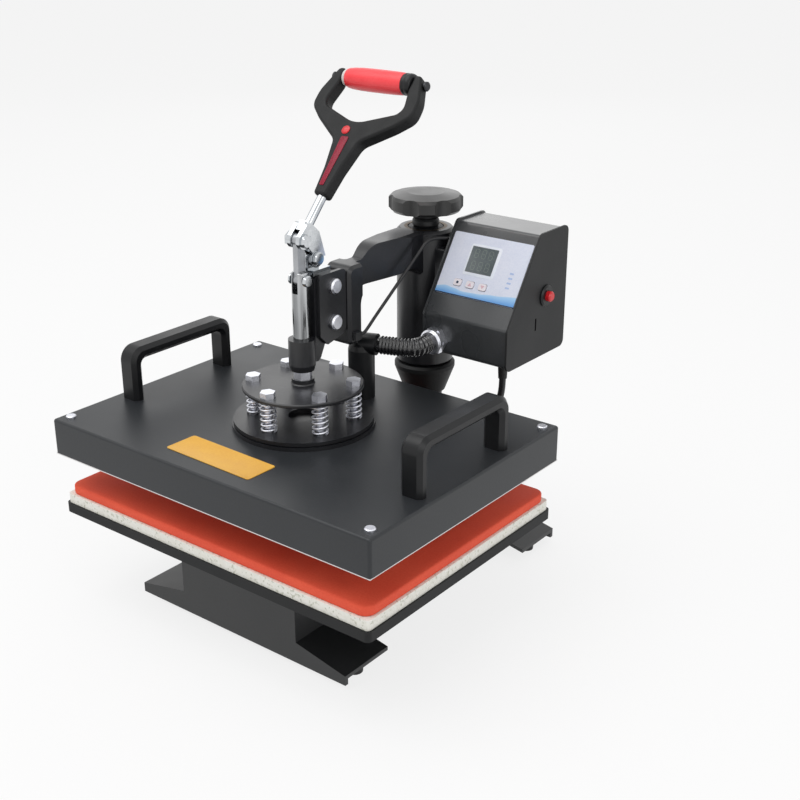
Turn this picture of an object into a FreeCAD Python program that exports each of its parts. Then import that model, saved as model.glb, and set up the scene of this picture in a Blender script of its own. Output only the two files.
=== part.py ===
import FreeCAD, Part
import math
import os
from FreeCAD import Placement, Rotation, Vector

# Swing-away flat heat press for transfers.
# Frame: millimetres, +Z up, +X to the operator's right, the operator stands at -Y.
# The origin is on the table, under the centre of the machine's own footprint.
# Places on the head are written from the press axis: a Y behind the plunger,
# and a height above the top of the heater cover.

# Shared fits
overrun = 2.0          # how far a cutting body runs past the face it opens
slip = 0.05            # radial play of a turning or sliding fit
hole_play = 0.2        # radial play of a bolt, screw or wire in its hole
seat_gap = 0.3         # clear space left between faces that move past each other
slot_play = 0.4        # clear space round a key, a window or a link in its slot
tiny = 1e-4            # two places closer than this are the same place

# Counts and steps of the wound pieces
turn_step = 0.5        # of a turn, one pair of arcs
turn_nudge = 1e-4      # of a turn, to find a winding's direction
gap_samples = 48       # measuring points on each turn
wire_sides = 6
cord_sides = 8
cord_arc_share = 0.45  # of the shorter run beside a bend of a cord
upright_share = 0.9    # of a direction's length, past which it counts as upright

# Heights of the stack, from the table up
foot_h = 6.0
beam_h = 97.0
tray_t = 3.0
board_t = 10.0
pad_t = 10.0
open_gap = 32.0
plate_t = 12.0
plate_reveal = 2.0
cover_h = 36.0

# Plan of the machine
cover_w = 400.0
swing_reach = 195.0    # press axis to column axis
column_clear = 50.0    # back of the heater cover to the column axis
beam_tail = 60.0       # column axis to the back of the base

# Base
beam_w = 150.0
beam_t = 4.0
beam_bend = 7.0
front_set = 103.0      # press axis to the front face of the base
foot_t = 4.0
foot_d = 62.0
foot_half = 135.0
wing_root_h = 22.0
wing_tip_h = 10.0
rubber_r = 10.0
rubber_bottom_r = 8.0
rubber_inset = 15.0

# Lower platen
tray_w = 392.0
tray_inset = 2.0       # front and back of the tray, inside the heater cover's
tray_rim = 10.0
tray_corner = 5.0
board_w = 388.0
board_inset = 2.0
board_corner = 4.0
pad_w = 384.0
pad_inset = 2.0
pad_corner = 11.0
pad_edge = 1.5
tray_bolt_x = 50.0
tray_bolt_y = 62.0

# Column
post_r = 19.0
flange_r = 47.0
flange_t = 8.0
flange_boss_r = 27.0
flange_boss_h = 26.0
flange_bolt_ring = 38.0
collar_r = 32.5
collar_h = 9.0
collar_round = 2.5
collar_skirt_r = 22.5
collar_skirt_h = 24.0

# Hexagon bolts of the base
bolt_r = 4.0
bolt_flats = 13.0
bolt_head_h = 5.5
nut_h = 6.5

# Heater
cover_t = 1.5
cover_bend = 3.0
cover_fold = 2.6
plate_play = 0.8
plate_edge = 1.0
screw_inset_x = 11.0
screw_inset_y = 14.0
screw_r = 2.5
screw_head_r = 5.0
screw_head_h = 2.2
boss_r = 5.5
element_r = 4.0
element_inset = 50.0
element_pitch = 52.0
element_runs = 4
blanket_inset_x = 28.0
blanket_inset_y = 27.0

# Pressure discs and springs, heights above the cover
disc_r = 69.5
disc_waist_r = 66.0
disc_upper_r = 68.0
disc_rim_h = 3.6
disc_waist_h = 1.0
disc_h = 8.0
disc_hole_r = 15.5
spring_ring = 49.0
spring_count = 6
spring_first = 30.0    # degrees
spring_r = 6.9
spring_wire = 1.0
spring_turns = 5
spring_h = 30.0
press_plate_r = 58.5
press_plate_t = 4.0
press_hub_r = 11.0
press_hub_h = 5.0
stud_r = 5.0

# Plunger and its guide
plunger_r = 8.0
tip_flats = 16.0
tip_h = 8.0
guide_h = 31.0
guide_r = 13.0
guide_toe_r = 11.5
guide_toe_h = 6.0
clevis_pin_z = 144.0
clevis_top = 8.0       # pin centre to the top of the fork
clevis_floor = 12.0    # pin centre to the bottom of the fork's slot
clevis_pin_r = 3.0
clevis_head_r = 5.5
clevis_head_h = 3.0

# Toggle: lever pivot A, crank pin B and link
link_t = 6.0
link_half = 5.0
link_eye_r = 6.0
pivot_y = 16.0
pivot_z = 162.0
crank_z = 182.0        # the crank pin stands over the plunger at rest
pin_r = 4.0
fork_t = 4.4
fork_hub_r = 8.5
fork_eye_r = 8.0
pin_head_r = 6.5
pin_head_h = 3.5
lug_base_y0 = 10.0
lug_base_y1 = 34.0
lug_base_h = 5.0
lug_r = 7.5

# Toggle bracket
bracket_top = 146.0
bracket_front = 10.5
cheek_t = 4.0
cheek_toe_round = 10.0
tongue_half = 8.0
tongue_y = 24.0
tongue_z0 = 82.0
tongue_z1 = 141.0
bracket_bolt_y = 34.0
bracket_bolt_z0 = 96.0
bracket_bolt_z1 = 132.0
bracket_bolt_r = 4.0
bracket_head_r = 7.5
bracket_head_h = 4.5

# Swing arm
arm_half = 16.0
arm_edge = 3.0
arm_boss_r = 30.0
arm_boss_top = 156.0
arm_crown = 2.0        # the bridge's top above the boss
leg_front = 52.0
leg_back = 72.0
leg_bottom = 67.0
arch_z = 120.0
arch_round = 16.0
bow_y = 83.0           # front of the bridge above the leg
bow_run = 14.0
bow_round = 28.0
bow_foot_round = 6.0
web_half = 6.0
waist_back = 15.0      # end of the bridge's taper before the boss
leg_round = 4.0
arch_back_round = 30.0
leg_top_round = 8.0
boss_web_z = 92.0
bush_t = 3.5
bush_h = 26.0

# Pressure knob
knob_r = 38.5
knob_lift = 17.0       # underside of the knob above the boss
knob_h = 16.0
knob_dome = 3.0
knob_edge = 3.0
knob_crown_share = 0.55
knob_lobes = 7
knob_scoop_r = 16.0
knob_scoop_depth = 4.0
stem_r = 14.0
stem_groove = 1.2
stem_ridges = 2
knob_shank_r = 8.0
knob_shank_h = 34.0

# Control box
box_x0 = 38.0
box_w = 102.0
box_front = 142.0
box_depth = 103.0
box_bottom = 43.0
box_sill_h = 40.0
box_h = 124.0
box_roof = 48.0        # depth of the flat top
box_t = 1.5
side_t = 2.0
side_rim = 2.0
box_round = 5.0
overlay_t = 0.6
overlay_x0 = 4.0
overlay_w = 94.0
overlay_y0 = 23.5
overlay_h = 66.0
display_x0 = 30.5
display_w = 31.0
display_y0 = 50.0
display_h = 27.5
display_t = 5.0
display_proud = 0.4
key_x0 = 27.0
key_pitch = 15.0
key_count = 3
key_y = 37.5
key_w = 9.0
key_h = 7.0
key_t = 4.0
key_proud = 0.8
key_corner = 2.0
board_x0 = 8.0
board_len = 86.0
board_y0 = 14.0
board_tall = 78.0
circuit_t = 1.6
spacer_h = 6.0
spacer_r = 3.0
spacer_inset = 6.0
relay_w = 34.0
relay_l = 24.0
relay_h = 18.0
button_y = 208.0
button_z = 104.0
button_r = 5.2
button_proud = 8.0
button_tail = 7.0
bezel_r = 11.0
bezel_body_r = 9.4
bezel_h = 3.0
bezel_body = 13.0
slot_y = 190.0
slot_z = 71.0
slot_w = 2.5
slot_h = 13.0
saddle_half = 17.0
saddle_z0 = 104.0
saddle_z1 = 140.0
saddle_x0 = 14.0

# Hose, its gland and its elbow
hose_r = 9.4
hose_root_r = 8.0
hose_bore_r = 6.3
hose_rib = 4.6
hose_end = 5.0
elbow_y = 88.0
elbow_z = 51.0
elbow_r = 13.5
elbow_dome_steps = 4
outlet_z = 57.0
outlet_r = 11.0
outlet_l = 17.0
outlet_turn = 20.0     # degrees from +X towards the control box
gland_x = 54.0
gland_h = 12.0
gland_r = 13.0
gland_flats = 24.0
gland_nut_h = 6.0
hose_turn_r = 17.0

# Side handles
side_handle_inset = 21.0
side_handle_w = 23.0
side_handle_y0 = -66.0
side_handle_y1 = 72.0
side_handle_h = 55.0
side_handle_t = 13.0
side_handle_out_r = 15.0
side_handle_in_r = 7.0
side_handle_edge = 4.0

# Lever, measured along its own rod from the fork
lean = 42.3            # degrees back from upright, head open
rod_y = 12.1
rod_z = 191.6
rod_r = 4.6
rod_root = -5.0
rod_end = 44.0
block_root = -8.0
block_end = 2.0
block_half = 9.0
handle_start = 32.0
handle_half_t = 7.0
handle_edge = 3.0
neck_half = 7.0
neck_mid = 60.0
neck_mid_half = 9.5
yoke = 90.5
yoke_half = 15.5
shoulder = 110.5
shoulder_half = 45.0
loop_wide = 124.0
loop_half = 60.5
loop_high = 141.0
loop_high_half = 60.0
loop_top = 168.0
loop_top_half = 49.5
lug_in = 42.0
grip_at = 161.0
inner_low = 110.0
inner_side = 127.0
inner_side_half = 47.5
neck_round = 3.0
neck_mid_round = 40.0
yoke_round = 12.0
shoulder_bend = 40.0
loop_round = 14.0
loop_high_round = 30.0
loop_top_round = 5.0
lug_round = 3.0
lug_foot_round = 2.0
inner_side_round = 10.0
inner_low_round = 34.0
grip_r = 11.0
grip_end_r = 9.5
grip_full_share = 0.4
grip_bolt_r = 3.0
grip_head_r = 4.5
grip_head_h = 3.0

# Sensor cable on the arm
cable_r = 1.7
cable_stand = 0.4
grommet_set = 1.0      # behind the column axis
grommet_z = 149.0
grommet_t = 5.0
grommet_l = 8.0
grommet_h = 8.0
cable_clip_l = 9.0
cable_clip_h = 8.0
cable_clip_y = 56.0
cable_clip_z = 76.0

# Mains cord
cord_r = 3.5
cord_exit_x = 113.0
cord_exit_y = 176.0
relief_r = 7.0
relief_h = 24.0
relief_neck = 4.4
relief_collar = 3.0
coil_x = -21.0
coil_y = 98.0          # behind the back of the base
coil_outer_r = 48.5
coil_pitch = 7.7
coil_layer_turns = 2.5
coil_lift = 0.1
coil_lead = 14.0
plug_l = 38.0
plug_w = 26.0
plug_h = 15.0
plug_taper = 5.0
blade_l = 17.0
blade_w = 6.3
blade_t = 1.6
blade_pitch = 12.7
plug_tail = 14.0

# Levels and places that follow from the sizes above
z_beam_top = foot_h + beam_h
z_tray_top = z_beam_top + tray_t
z_board_top = z_tray_top + board_t
z_pad_top = z_board_top + pad_t
z_plate_bottom = z_pad_top + open_gap
z_plate_top = z_plate_bottom + plate_t
z_cover_bottom = z_plate_bottom + plate_reveal
z_cover_top = z_cover_bottom + cover_h
cover_d = 2 * (swing_reach - column_clear)
tray_d = cover_d - 2 * tray_inset
board_d = tray_d - 2 * board_inset
pad_d = board_d - 2 * pad_inset
total_depth = cover_d / 2 + swing_reach + beam_tail
platen_y = cover_d / 2 - total_depth / 2
column_y = platen_y + swing_reach
base_front = platen_y - front_set
base_back = column_y + beam_tail
side_handle_x = cover_w / 2 - side_handle_inset
bush_r = post_r + slip + bush_t
arm_top = arm_boss_top + arm_crown
knob_z = arm_boss_top + knob_lift
collar_top = z_cover_top + collar_h
box_x1 = box_x0 + box_w
slope_run = box_depth - box_roof
slope_rise = box_h - box_sill_h
slope_angle = math.degrees(math.atan2(slope_rise, slope_run))
grommet_y = max(swing_reach + grommet_set, box_front + slope_run - grommet_l)
plate_low = disc_h + spring_h
plate_high = plate_low + press_plate_t
tip_low = plate_high + press_hub_h
guide_low = tip_low + tip_h + seat_gap
guide_high = guide_low + guide_h


def head(x, y, z):
    """A point given from the press axis and the top of the heater cover."""
    return Vector(x, platen_y + y, z_cover_top + z)


def block(x0, x1, y0, y1, z0, z1):
    """A plain block between two corners."""
    return Part.makeBox(x1 - x0, y1 - y0, z1 - z0, Vector(x0, y0, z0))


def bar(radius, start, end):
    """A round bar between two points."""
    way = end - start
    return Part.makeCylinder(radius, way.Length, start, way)


def corner_arc(before, corner, after, radius):
    """The two ends and the middle of the arc that rounds one corner."""
    to_before = (before - corner).normalize()
    to_after = (after - corner).normalize()
    half = to_before.getAngle(to_after) / 2
    reach = radius / math.tan(half)
    middle_way = (to_before + to_after).normalize()
    centre = corner + middle_way * (radius / math.sin(half))
    return corner + to_before * reach, centre - middle_way * radius, corner + to_after * reach


def rounded(points, radii, closed=True):
    """A wire through the points, with each corner rounded to its own radius."""
    edges = []
    count = len(points)
    last = None
    first = None
    for index in range(count):
        corner = points[index]
        end = not closed and index in (0, count - 1)
        if end or radii[index] == 0:
            enter = middle = leave = corner
        else:
            before = points[index - 1]
            after = points[(index + 1) % count]
            enter, middle, leave = corner_arc(before, corner, after, radii[index])
        if last is not None and (enter - last).Length > tiny:
            edges.append(Part.LineSegment(last, enter).toShape())
        if middle is not corner:
            edges.append(Part.Arc(enter, middle, leave).toShape())
        if first is None:
            first = enter
        last = leave
    if closed and (first - last).Length > tiny:
        edges.append(Part.LineSegment(last, first).toShape())
    return Part.Wire(edges)


def slab(points, radii, way):
    """A flat outline with rounded corners, pushed along a way into a solid."""
    return Part.Face(rounded(points, radii)).extrude(way)


def turned(profile, axis_point, axis_way=Vector(0, 0, 1)):
    """A solid turned from (radius, height) pairs about an axis through a point."""
    points = [Vector(radius, 0, height) for radius, height in profile]
    face = Part.Face(Part.makePolygon(points + points[:1]))
    solid = face.revolve(Vector(0, 0, 0), Vector(0, 0, 1), 360)
    solid.Placement = Placement(axis_point, Rotation(Vector(0, 0, 1), axis_way))
    return solid


def hexagon(flats, height, centre, way=Vector(0, 0, 1)):
    """A hexagon bar of a given width across its flats."""
    reach = flats / math.sqrt(3)
    points = []
    for turn in range(6):
        angle = math.radians(60 * turn)
        points.append(Vector(reach * math.cos(angle), reach * math.sin(angle), 0))
    solid = Part.Face(Part.makePolygon(points + points[:1])).extrude(Vector(0, 0, height))
    solid.Placement = Placement(centre, Rotation(Vector(0, 0, 1), way))
    return solid


def softened(solid, radius, wanted):
    """Round the edges of a solid that a test picks out."""
    return solid.makeFillet(radius, [edge for edge in solid.Edges if wanted(edge)])


def bevelled(solid, size, wanted):
    """Bevel the edges of a solid that a test picks out."""
    return solid.makeChamfer(size, [edge for edge in solid.Edges if wanted(edge)])


def upright(edge):
    """True for a straight edge that stands along Z."""
    first, last = edge.Vertexes[0].Point, edge.Vertexes[-1].Point
    return abs(first.x - last.x) + abs(first.y - last.y) < tiny


def across(edge):
    """True for a straight edge that lies along X."""
    first, last = edge.Vertexes[0].Point, edge.Vertexes[-1].Point
    return abs(first.y - last.y) + abs(first.z - last.z) < tiny and abs(first.x - last.x) > tiny


def at_height(edge, z):
    """True for an edge that lies wholly at one height."""
    return abs(edge.BoundBox.ZMin - z) + abs(edge.BoundBox.ZMax - z) < tiny


def ring_places(count, radius, centre, first=0.0):
    """Points evenly spaced on a level circle."""
    places = []
    for index in range(count):
        angle = math.radians(first + 360 * index / count)
        places.append(centre + Vector(radius * math.cos(angle), radius * math.sin(angle), 0))
    return places


def biarc(start, start_way, end, end_way):
    """Two arcs that leave one point and reach another along given ways."""
    chord = end - start
    ways = start_way + end_way
    spread = 2 * (1 - start_way.dot(end_way))
    lean_in = chord.dot(ways)
    reach = (-lean_in + math.sqrt(lean_in ** 2 + spread * chord.dot(chord))) / spread
    first_apex = start + start_way * reach
    last_apex = end - end_way * reach
    join = (first_apex + last_apex) * 0.5
    arcs = []
    for begin, apex, finish in ((start, first_apex, join), (join, last_apex, end)):
        middle = (begin + finish) * 0.5
        half = (finish - begin).Length / 2
        rise = (apex - middle).Length
        angle = math.atan2(rise, half)
        top = middle + (apex - middle).normalize() * (half * math.tan(angle / 2))
        arcs.append(Part.Arc(begin, top, finish).toShape())
    return arcs


def wound(place, start, end, step):
    """A wire of biarcs along a winding, and points on it for measuring."""
    edges = []
    points = []
    count = max(1, round((end - start) / step))
    ways = []
    for index in range(count + 1):
        turn = start + (end - start) * index / count
        points.append(place(turn))
        ways.append((place(turn + turn_nudge) - place(turn - turn_nudge)).normalize())
    for index in range(count):
        edges += biarc(points[index], ways[index], points[index + 1], ways[index + 1])
    return edges, ways


def tube(edges, radius, start, way):
    """A round tube swept along edges that join smoothly."""
    ring = Part.Wire(Part.makeCircle(radius, start, way))
    return Part.Wire(edges).makePipeShell([ring], True, False)


def wire_tube(edges, radius, sides, start, way):
    """A wire with flat sides, swept along edges that join smoothly, with one flat below."""
    way = Vector(way).normalize()
    down = Vector(0, 1, 0) if abs(way.z) > upright_share else Vector(0, 0, -1)
    down = (down - way * down.dot(way)).normalize()
    across_way = way.cross(down)
    points = []
    for side in range(sides):
        angle = 2 * math.pi * (side + 1 / 2) / sides
        points.append(start + (down * math.cos(angle) + across_way * math.sin(angle)) * radius)
    ring = Part.makePolygon(points + points[:1])
    return Part.Wire(edges).makePipeShell([ring], True, False)


def least_gap(place, start, end, radius, apart):
    """The least clear space of a winding to its own other turns."""
    count = int((end - start) * gap_samples)
    points = [place(start + (end - start) * index / count) for index in range(count + 1)]
    skip = int(apart * gap_samples)
    best = None
    for index in range(len(points)):
        for other in range(index + skip, len(points)):
            gap = (points[index] - points[other]).Length - 2 * radius
            if best is None or gap < best:
                best = gap
    return best


def route_tube(points, radius, name):
    """A cord's tube: straight runs joined by arcs as large as the runs allow."""
    radii = [0]
    for before, corner, after in zip(points, points[1:], points[2:]):
        turn = (corner - before).getAngle(after - corner)
        shorter = min((corner - before).Length, (after - corner).Length)
        radii.append(cord_arc_share * shorter / math.tan(turn / 2))
    radii.append(0)
    wire = rounded(points, radii, closed=False)
    solid = wire_tube(wire.Edges, radius, cord_sides, points[0], points[1] - points[0])
    section = cord_sides / 2 * math.sin(2 * math.pi / cord_sides) * radius ** 2
    ratio = solid.Volume / (section * wire.Length)
    print(name, "length", round(wire.Length, 1), "volume ratio", round(ratio, 4))
    print(name, "radii", [round(value) for value in radii[1:-1]])
    return solid


def eased_head(radius, height, seat, way):
    """A round head with an eased rim, standing on a seat."""
    ease = height / 3
    profile = [(0, 0), (radius, 0), (radius, height - ease), (radius - ease, height), (0, height)]
    return turned(profile, seat, way)


def hex_bolt(seat, length, way):
    """A hexagon bolt whose head stands on a seat, with its shank along the way."""
    head_solid = hexagon(bolt_flats, bolt_head_h, seat - way * bolt_head_h, way)
    return head_solid.fuse(bar(bolt_r, seat, seat + way * length)).removeSplitter()


def hex_nut(seat, way):
    """A hexagon nut on a bolt."""
    solid = hexagon(bolt_flats, nut_h, seat, way)
    return solid.cut(bar(bolt_r + hole_play, seat - way * overrun, seat + way * (nut_h + overrun)))


def tray_bolt_places():
    """Where the lower tray is bolted to the base, at the underside of the base's roof."""
    places = []
    for x in (-tray_bolt_x, tray_bolt_x):
        for y in (-tray_bolt_y, tray_bolt_y):
            places.append(Vector(x, platen_y + y, z_beam_top - beam_t))
    return places


def flange_bolt_places():
    """Where the column flange is bolted down, at the top of the flange."""
    centre = Vector(0, column_y, z_beam_top + flange_t)
    return ring_places(4, flange_bolt_ring, centre, 45)


def make_base_beam():
    """Folded channel, open below, that runs from the front foot to the rear foot."""
    front, back = base_front + foot_t, base_back - foot_t
    shell = block(-beam_w / 2, beam_w / 2, front, back, foot_h, z_beam_top)
    shell = softened(shell, beam_bend, lambda e: at_height(e, z_beam_top) and e.BoundBox.YLength > beam_w)
    half = beam_w / 2 - beam_t
    room = block(-half, half, front - overrun, back + overrun, foot_h - overrun, z_beam_top - beam_t)
    inner = beam_bend - beam_t
    room = softened(room, inner, lambda e: at_height(e, z_beam_top - beam_t) and e.BoundBox.YLength > beam_w)
    shell = shell.cut(room)
    up = Vector(0, 0, beam_t + overrun)
    for place in tray_bolt_places() + flange_bolt_places():
        low = Vector(place.x, place.y, z_beam_top - beam_t - overrun)
        shell = shell.cut(bar(bolt_r + hole_play, low, low + up + Vector(0, 0, overrun)))
    return shell


def foot_wing(side, top, bottom_drop):
    """Outline of one foot wing in the XZ plane, from the base wall out to the tip."""
    root, tip = beam_w / 2, foot_half
    high_root, high_tip = foot_h + wing_root_h, foot_h + wing_tip_h
    low_root, low_tip = high_root - bottom_drop, high_tip - bottom_drop
    if not top:
        high_root, high_tip, low_root, low_tip = low_root, low_tip, 0, 0
    return [(side * root, low_root), (side * tip, low_tip), (side * tip, high_tip), (side * root, high_root)]


def make_foot(outer, inward):
    """End plate of the base with a sloping wing on each side."""
    flat = [0] * 4
    plate = block(-beam_w / 2, beam_w / 2, min(outer, outer + inward * foot_t),
                  max(outer, outer + inward * foot_t), foot_h, z_beam_top)
    pieces = []
    for side in (-1, 1):
        strip = [Vector(x, outer, z) for x, z in foot_wing(side, True, foot_t)]
        pieces.append(slab(strip, flat, Vector(0, inward * foot_d, 0)))
        root, tip = side * beam_w / 2, side * foot_half
        face = [Vector(root, outer, foot_h), Vector(tip, outer, foot_h),
                Vector(tip, outer, foot_h + wing_tip_h), Vector(root, outer, foot_h + wing_root_h)]
        pieces.append(slab(face, flat, Vector(0, inward * foot_t, 0)))
    return plate.fuse(pieces).removeSplitter()


def make_rubber_feet():
    """Tapered rubber feet under the four wing tips."""
    feet = []
    for outer, inward in ((base_front, 1), (base_back, -1)):
        for side in (-1, 1):
            x = side * (foot_half - rubber_inset)
            y = outer + inward * foot_d / 2
            tall = foot_h + wing_root_h
            foot = Part.makeCone(rubber_bottom_r, rubber_r, tall, Vector(x, y, 0))
            under = [Vector(a, outer, b) for a, b in foot_wing(side, False, foot_t)]
            room = slab(under, [0] * 4, Vector(0, inward * foot_d, 0))
            feet.append(foot.common(room))
    return Part.makeCompound(feet)


def make_column_flange():
    """Round foot of the column with a raised collar round the post."""
    bore = post_r + slip
    round_r = flange_boss_r - bore
    profile = [(bore, 0), (flange_r, 0), (flange_r, flange_t), (flange_boss_r, flange_t),
               (flange_boss_r, flange_boss_h - round_r / 2), (flange_boss_r - round_r / 2, flange_boss_h),
               (bore, flange_boss_h)]
    solid = turned(profile, Vector(0, column_y, z_beam_top))
    for place in flange_bolt_places():
        drop = Vector(0, 0, -flange_t - overrun)
        solid = solid.cut(bar(bolt_r + hole_play, place + Vector(0, 0, overrun), place + drop))
    return solid


def make_column_post():
    """Ground steel post, tapped at the top for the pressure screw."""
    low = Vector(0, column_y, z_beam_top)
    high = Vector(0, column_y, z_cover_top + arm_boss_top)
    solid = bar(post_r, low, high)
    solid = solid.makeChamfer(stem_groove, [e for e in solid.Edges if at_height(e, high.z)])
    bottom = high - Vector(0, 0, knob_shank_h + overrun)
    return solid.cut(bar(knob_shank_r + slip, bottom, high + Vector(0, 0, overrun)))


def make_thrust_collar():
    """Clamped ring on the post that carries the swing arm, with a tapered skirt."""
    bore = post_r + slip
    profile = [(bore, -collar_skirt_h), (collar_skirt_r, -collar_skirt_h), (collar_r, collar_round),
               (collar_r, collar_h - collar_round), (collar_r - collar_round, collar_h), (bore, collar_h)]
    return turned(profile, Vector(0, column_y, z_cover_top))


def make_base_bolts():
    """Bolts and nuts of the column flange, and bolts of the lower tray."""
    pieces = []
    for place in flange_bolt_places():
        grip = flange_t + beam_t
        down = Vector(0, 0, -1)
        pieces.append(hex_bolt(place, grip + nut_h, down))
        pieces.append(hex_nut(place + down * grip, down))
    for place in tray_bolt_places():
        pieces.append(hex_bolt(place, beam_t + tray_t, Vector(0, 0, 1)))
    return Part.makeCompound(pieces)


def platen_block(width, depth, z0, z1, corner):
    """A platen layer with rounded corners, centred under the press axis."""
    solid = block(-width / 2, width / 2, platen_y - depth / 2, platen_y + depth / 2, z0, z1)
    return softened(solid, corner, upright)


def make_lower_tray():
    """Pressed steel tray with its rim turned down, notched where the base passes under its back."""
    low = z_tray_top - tray_rim
    shell = platen_block(tray_w, tray_d, low, z_tray_top, tray_corner)
    inner_w, inner_d = tray_w - 2 * tray_t, tray_d - 2 * tray_t
    room = platen_block(inner_w, inner_d, low - overrun, z_beam_top, tray_corner - tray_t)
    shell = shell.cut(room)
    half, back = beam_w / 2 + slot_play, platen_y + tray_d / 2
    shell = shell.cut(block(-half, half, back - tray_t - overrun, back + overrun, low - overrun, z_beam_top))
    for place in tray_bolt_places():
        top = Vector(place.x, place.y, z_tray_top + overrun)
        shell = shell.cut(bar(bolt_r + hole_play, place, top))
    return shell


def make_silicone_pad():
    """Silicone rubber mat with its upper rim eased."""
    solid = platen_block(pad_w, pad_d, z_board_top, z_pad_top, pad_corner)
    return softened(solid, pad_edge, lambda e: at_height(e, z_pad_top))


def corner_places(z):
    """The four corner screws of the heater cover."""
    right, back = cover_w / 2 - screw_inset_x, cover_d / 2 - screw_inset_y
    return [head(x, y, z) for x in (-right, right) for y in (-back, back)]


def make_heater_cover():
    """Folded steel lid over the heat plate."""
    shell = platen_block(cover_w, cover_d, z_cover_bottom, z_cover_top, cover_bend)
    shell = softened(shell, cover_fold, lambda e: at_height(e, z_cover_top))
    inner_w, inner_d = cover_w - 2 * cover_t, cover_d - 2 * cover_t
    low, high = z_cover_bottom - overrun, z_cover_top - cover_t
    room = platen_block(inner_w, inner_d, low, high, cover_bend - cover_t)
    shell = shell.cut(room)
    for place in corner_places(overrun):
        shell = shell.cut(bar(screw_r + hole_play, place, place - Vector(0, 0, cover_t + 2 * overrun)))
    wires = head(0, elbow_y, overrun)
    return shell.cut(bar(hose_bore_r + overrun, wires, wires - Vector(0, 0, cover_t + 2 * overrun)))


def make_cover_screws():
    """Round-headed screws at the corners of the cover."""
    screws = []
    for place in corner_places(0):
        cap = eased_head(screw_head_r, screw_head_h, place, Vector(0, 0, 1))
        screws.append(cap.fuse(bar(screw_r, place - Vector(0, 0, cover_t + boss_r), place)).removeSplitter())
    return Part.makeCompound(screws)


def element_route(z):
    """The heating rod's path: level runs joined by half circles."""
    edges = []
    bend = element_pitch / 2
    first_y = -element_pitch * (element_runs - 1) / 2
    straight = cover_w / 2 - element_inset - bend
    for run in range(element_runs):
        y = first_y + run * element_pitch
        way = 1 if run % 2 == 0 else -1
        start, end = head(-way * straight, y, z), head(way * straight, y, z)
        edges.append(Part.LineSegment(start, end).toShape())
        if run < element_runs - 1:
            top = head(way * (straight + bend), y + bend, z)
            edges.append(Part.Arc(end, top, head(way * straight, y + element_pitch, z)).toShape())
    return edges


def element_level():
    """Height of the heating rod's centre line, which lies with one flat on the plate."""
    return z_plate_top - z_cover_top + element_r * math.cos(math.pi / wire_sides)


def make_heating_element():
    """Heating rod clamped on the heat plate, bent to and fro."""
    edges = element_route(element_level())
    return wire_tube(edges, element_r, wire_sides, edges[0].Vertexes[0].Point, Vector(1, 0, 0))


def make_heat_plate():
    """Aluminium plate with bosses for the cover screws."""
    width, depth = cover_w - 2 * (cover_t + plate_play), cover_d - 2 * (cover_t + plate_play)
    solid = platen_block(width, depth, z_plate_bottom, z_plate_top, cover_bend)
    solid = solid.makeChamfer(plate_edge, [e for e in solid.Edges if at_height(e, z_plate_bottom)])
    under_lid = z_cover_top - cover_t
    bosses = []
    for place in corner_places(0):
        low, high = Vector(place.x, place.y, z_plate_top), Vector(place.x, place.y, under_lid)
        bosses.append(bar(boss_r, low, high))
    solid = solid.fuse(bosses).removeSplitter()
    for place in corner_places(0):
        low = Vector(place.x, place.y, under_lid - boss_r - overrun)
        solid = solid.cut(bar(screw_r + hole_play, low, place))
    return solid


def make_insulation_blanket():
    """Ceramic fibre blanket between the rod and the lid."""
    rod_top = z_cover_top + element_level() + element_r
    low, high = rod_top + seat_gap, z_cover_top - cover_t - seat_gap
    width, depth = cover_w - 2 * blanket_inset_x, cover_d - 2 * blanket_inset_y
    return platen_block(width, depth, low, high, boss_r)


def spring_places(z):
    """The spring bolts' ring, at a height above the cover."""
    return ring_places(spring_count, spring_ring, head(0, 0, z), spring_first)


def make_platen_disc():
    """Grooved disc bolted to the lid, with a sunk centre."""
    step = disc_rim_h + disc_waist_h
    profile = [(0, 0), (disc_r, 0), (disc_r, disc_rim_h), (disc_waist_r, disc_rim_h),
               (disc_waist_r, step), (disc_upper_r, step), (disc_upper_r, disc_h),
               (disc_hole_r, disc_h), (disc_hole_r, disc_rim_h), (0, disc_rim_h)]
    solid = turned(profile, head(0, 0, 0))
    for place in spring_places(disc_rim_h):
        solid = solid.cut(bar(bolt_r + hole_play, place, place + Vector(0, 0, disc_h)))
    return solid


def make_pressure_plate():
    """Round plate on the springs, with a hub that takes the plunger's stud."""
    edge = press_plate_t / 4
    profile = [(stud_r + hole_play, 0), (press_plate_r - edge, 0), (press_plate_r, edge),
               (press_plate_r, press_plate_t - edge), (press_plate_r - edge, press_plate_t),
               (press_hub_r + edge, press_plate_t), (press_hub_r, press_plate_t + edge),
               (press_hub_r, press_plate_t + press_hub_h), (stud_r + hole_play, press_plate_t + press_hub_h)]
    solid = turned(profile, head(0, 0, plate_low))
    for place in spring_places(plate_low - overrun):
        solid = solid.cut(bar(bolt_r + hole_play, place, place + Vector(0, 0, press_plate_t + 2 * overrun)))
    return solid


def make_spring_bolts():
    """Bolts that hold the pressure plate over the disc."""
    bolts = []
    for place in spring_places(plate_high):
        length = plate_high - disc_rim_h
        bolts.append(hex_bolt(place, length, Vector(0, 0, -1)))
    return Part.makeCompound(bolts)


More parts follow.
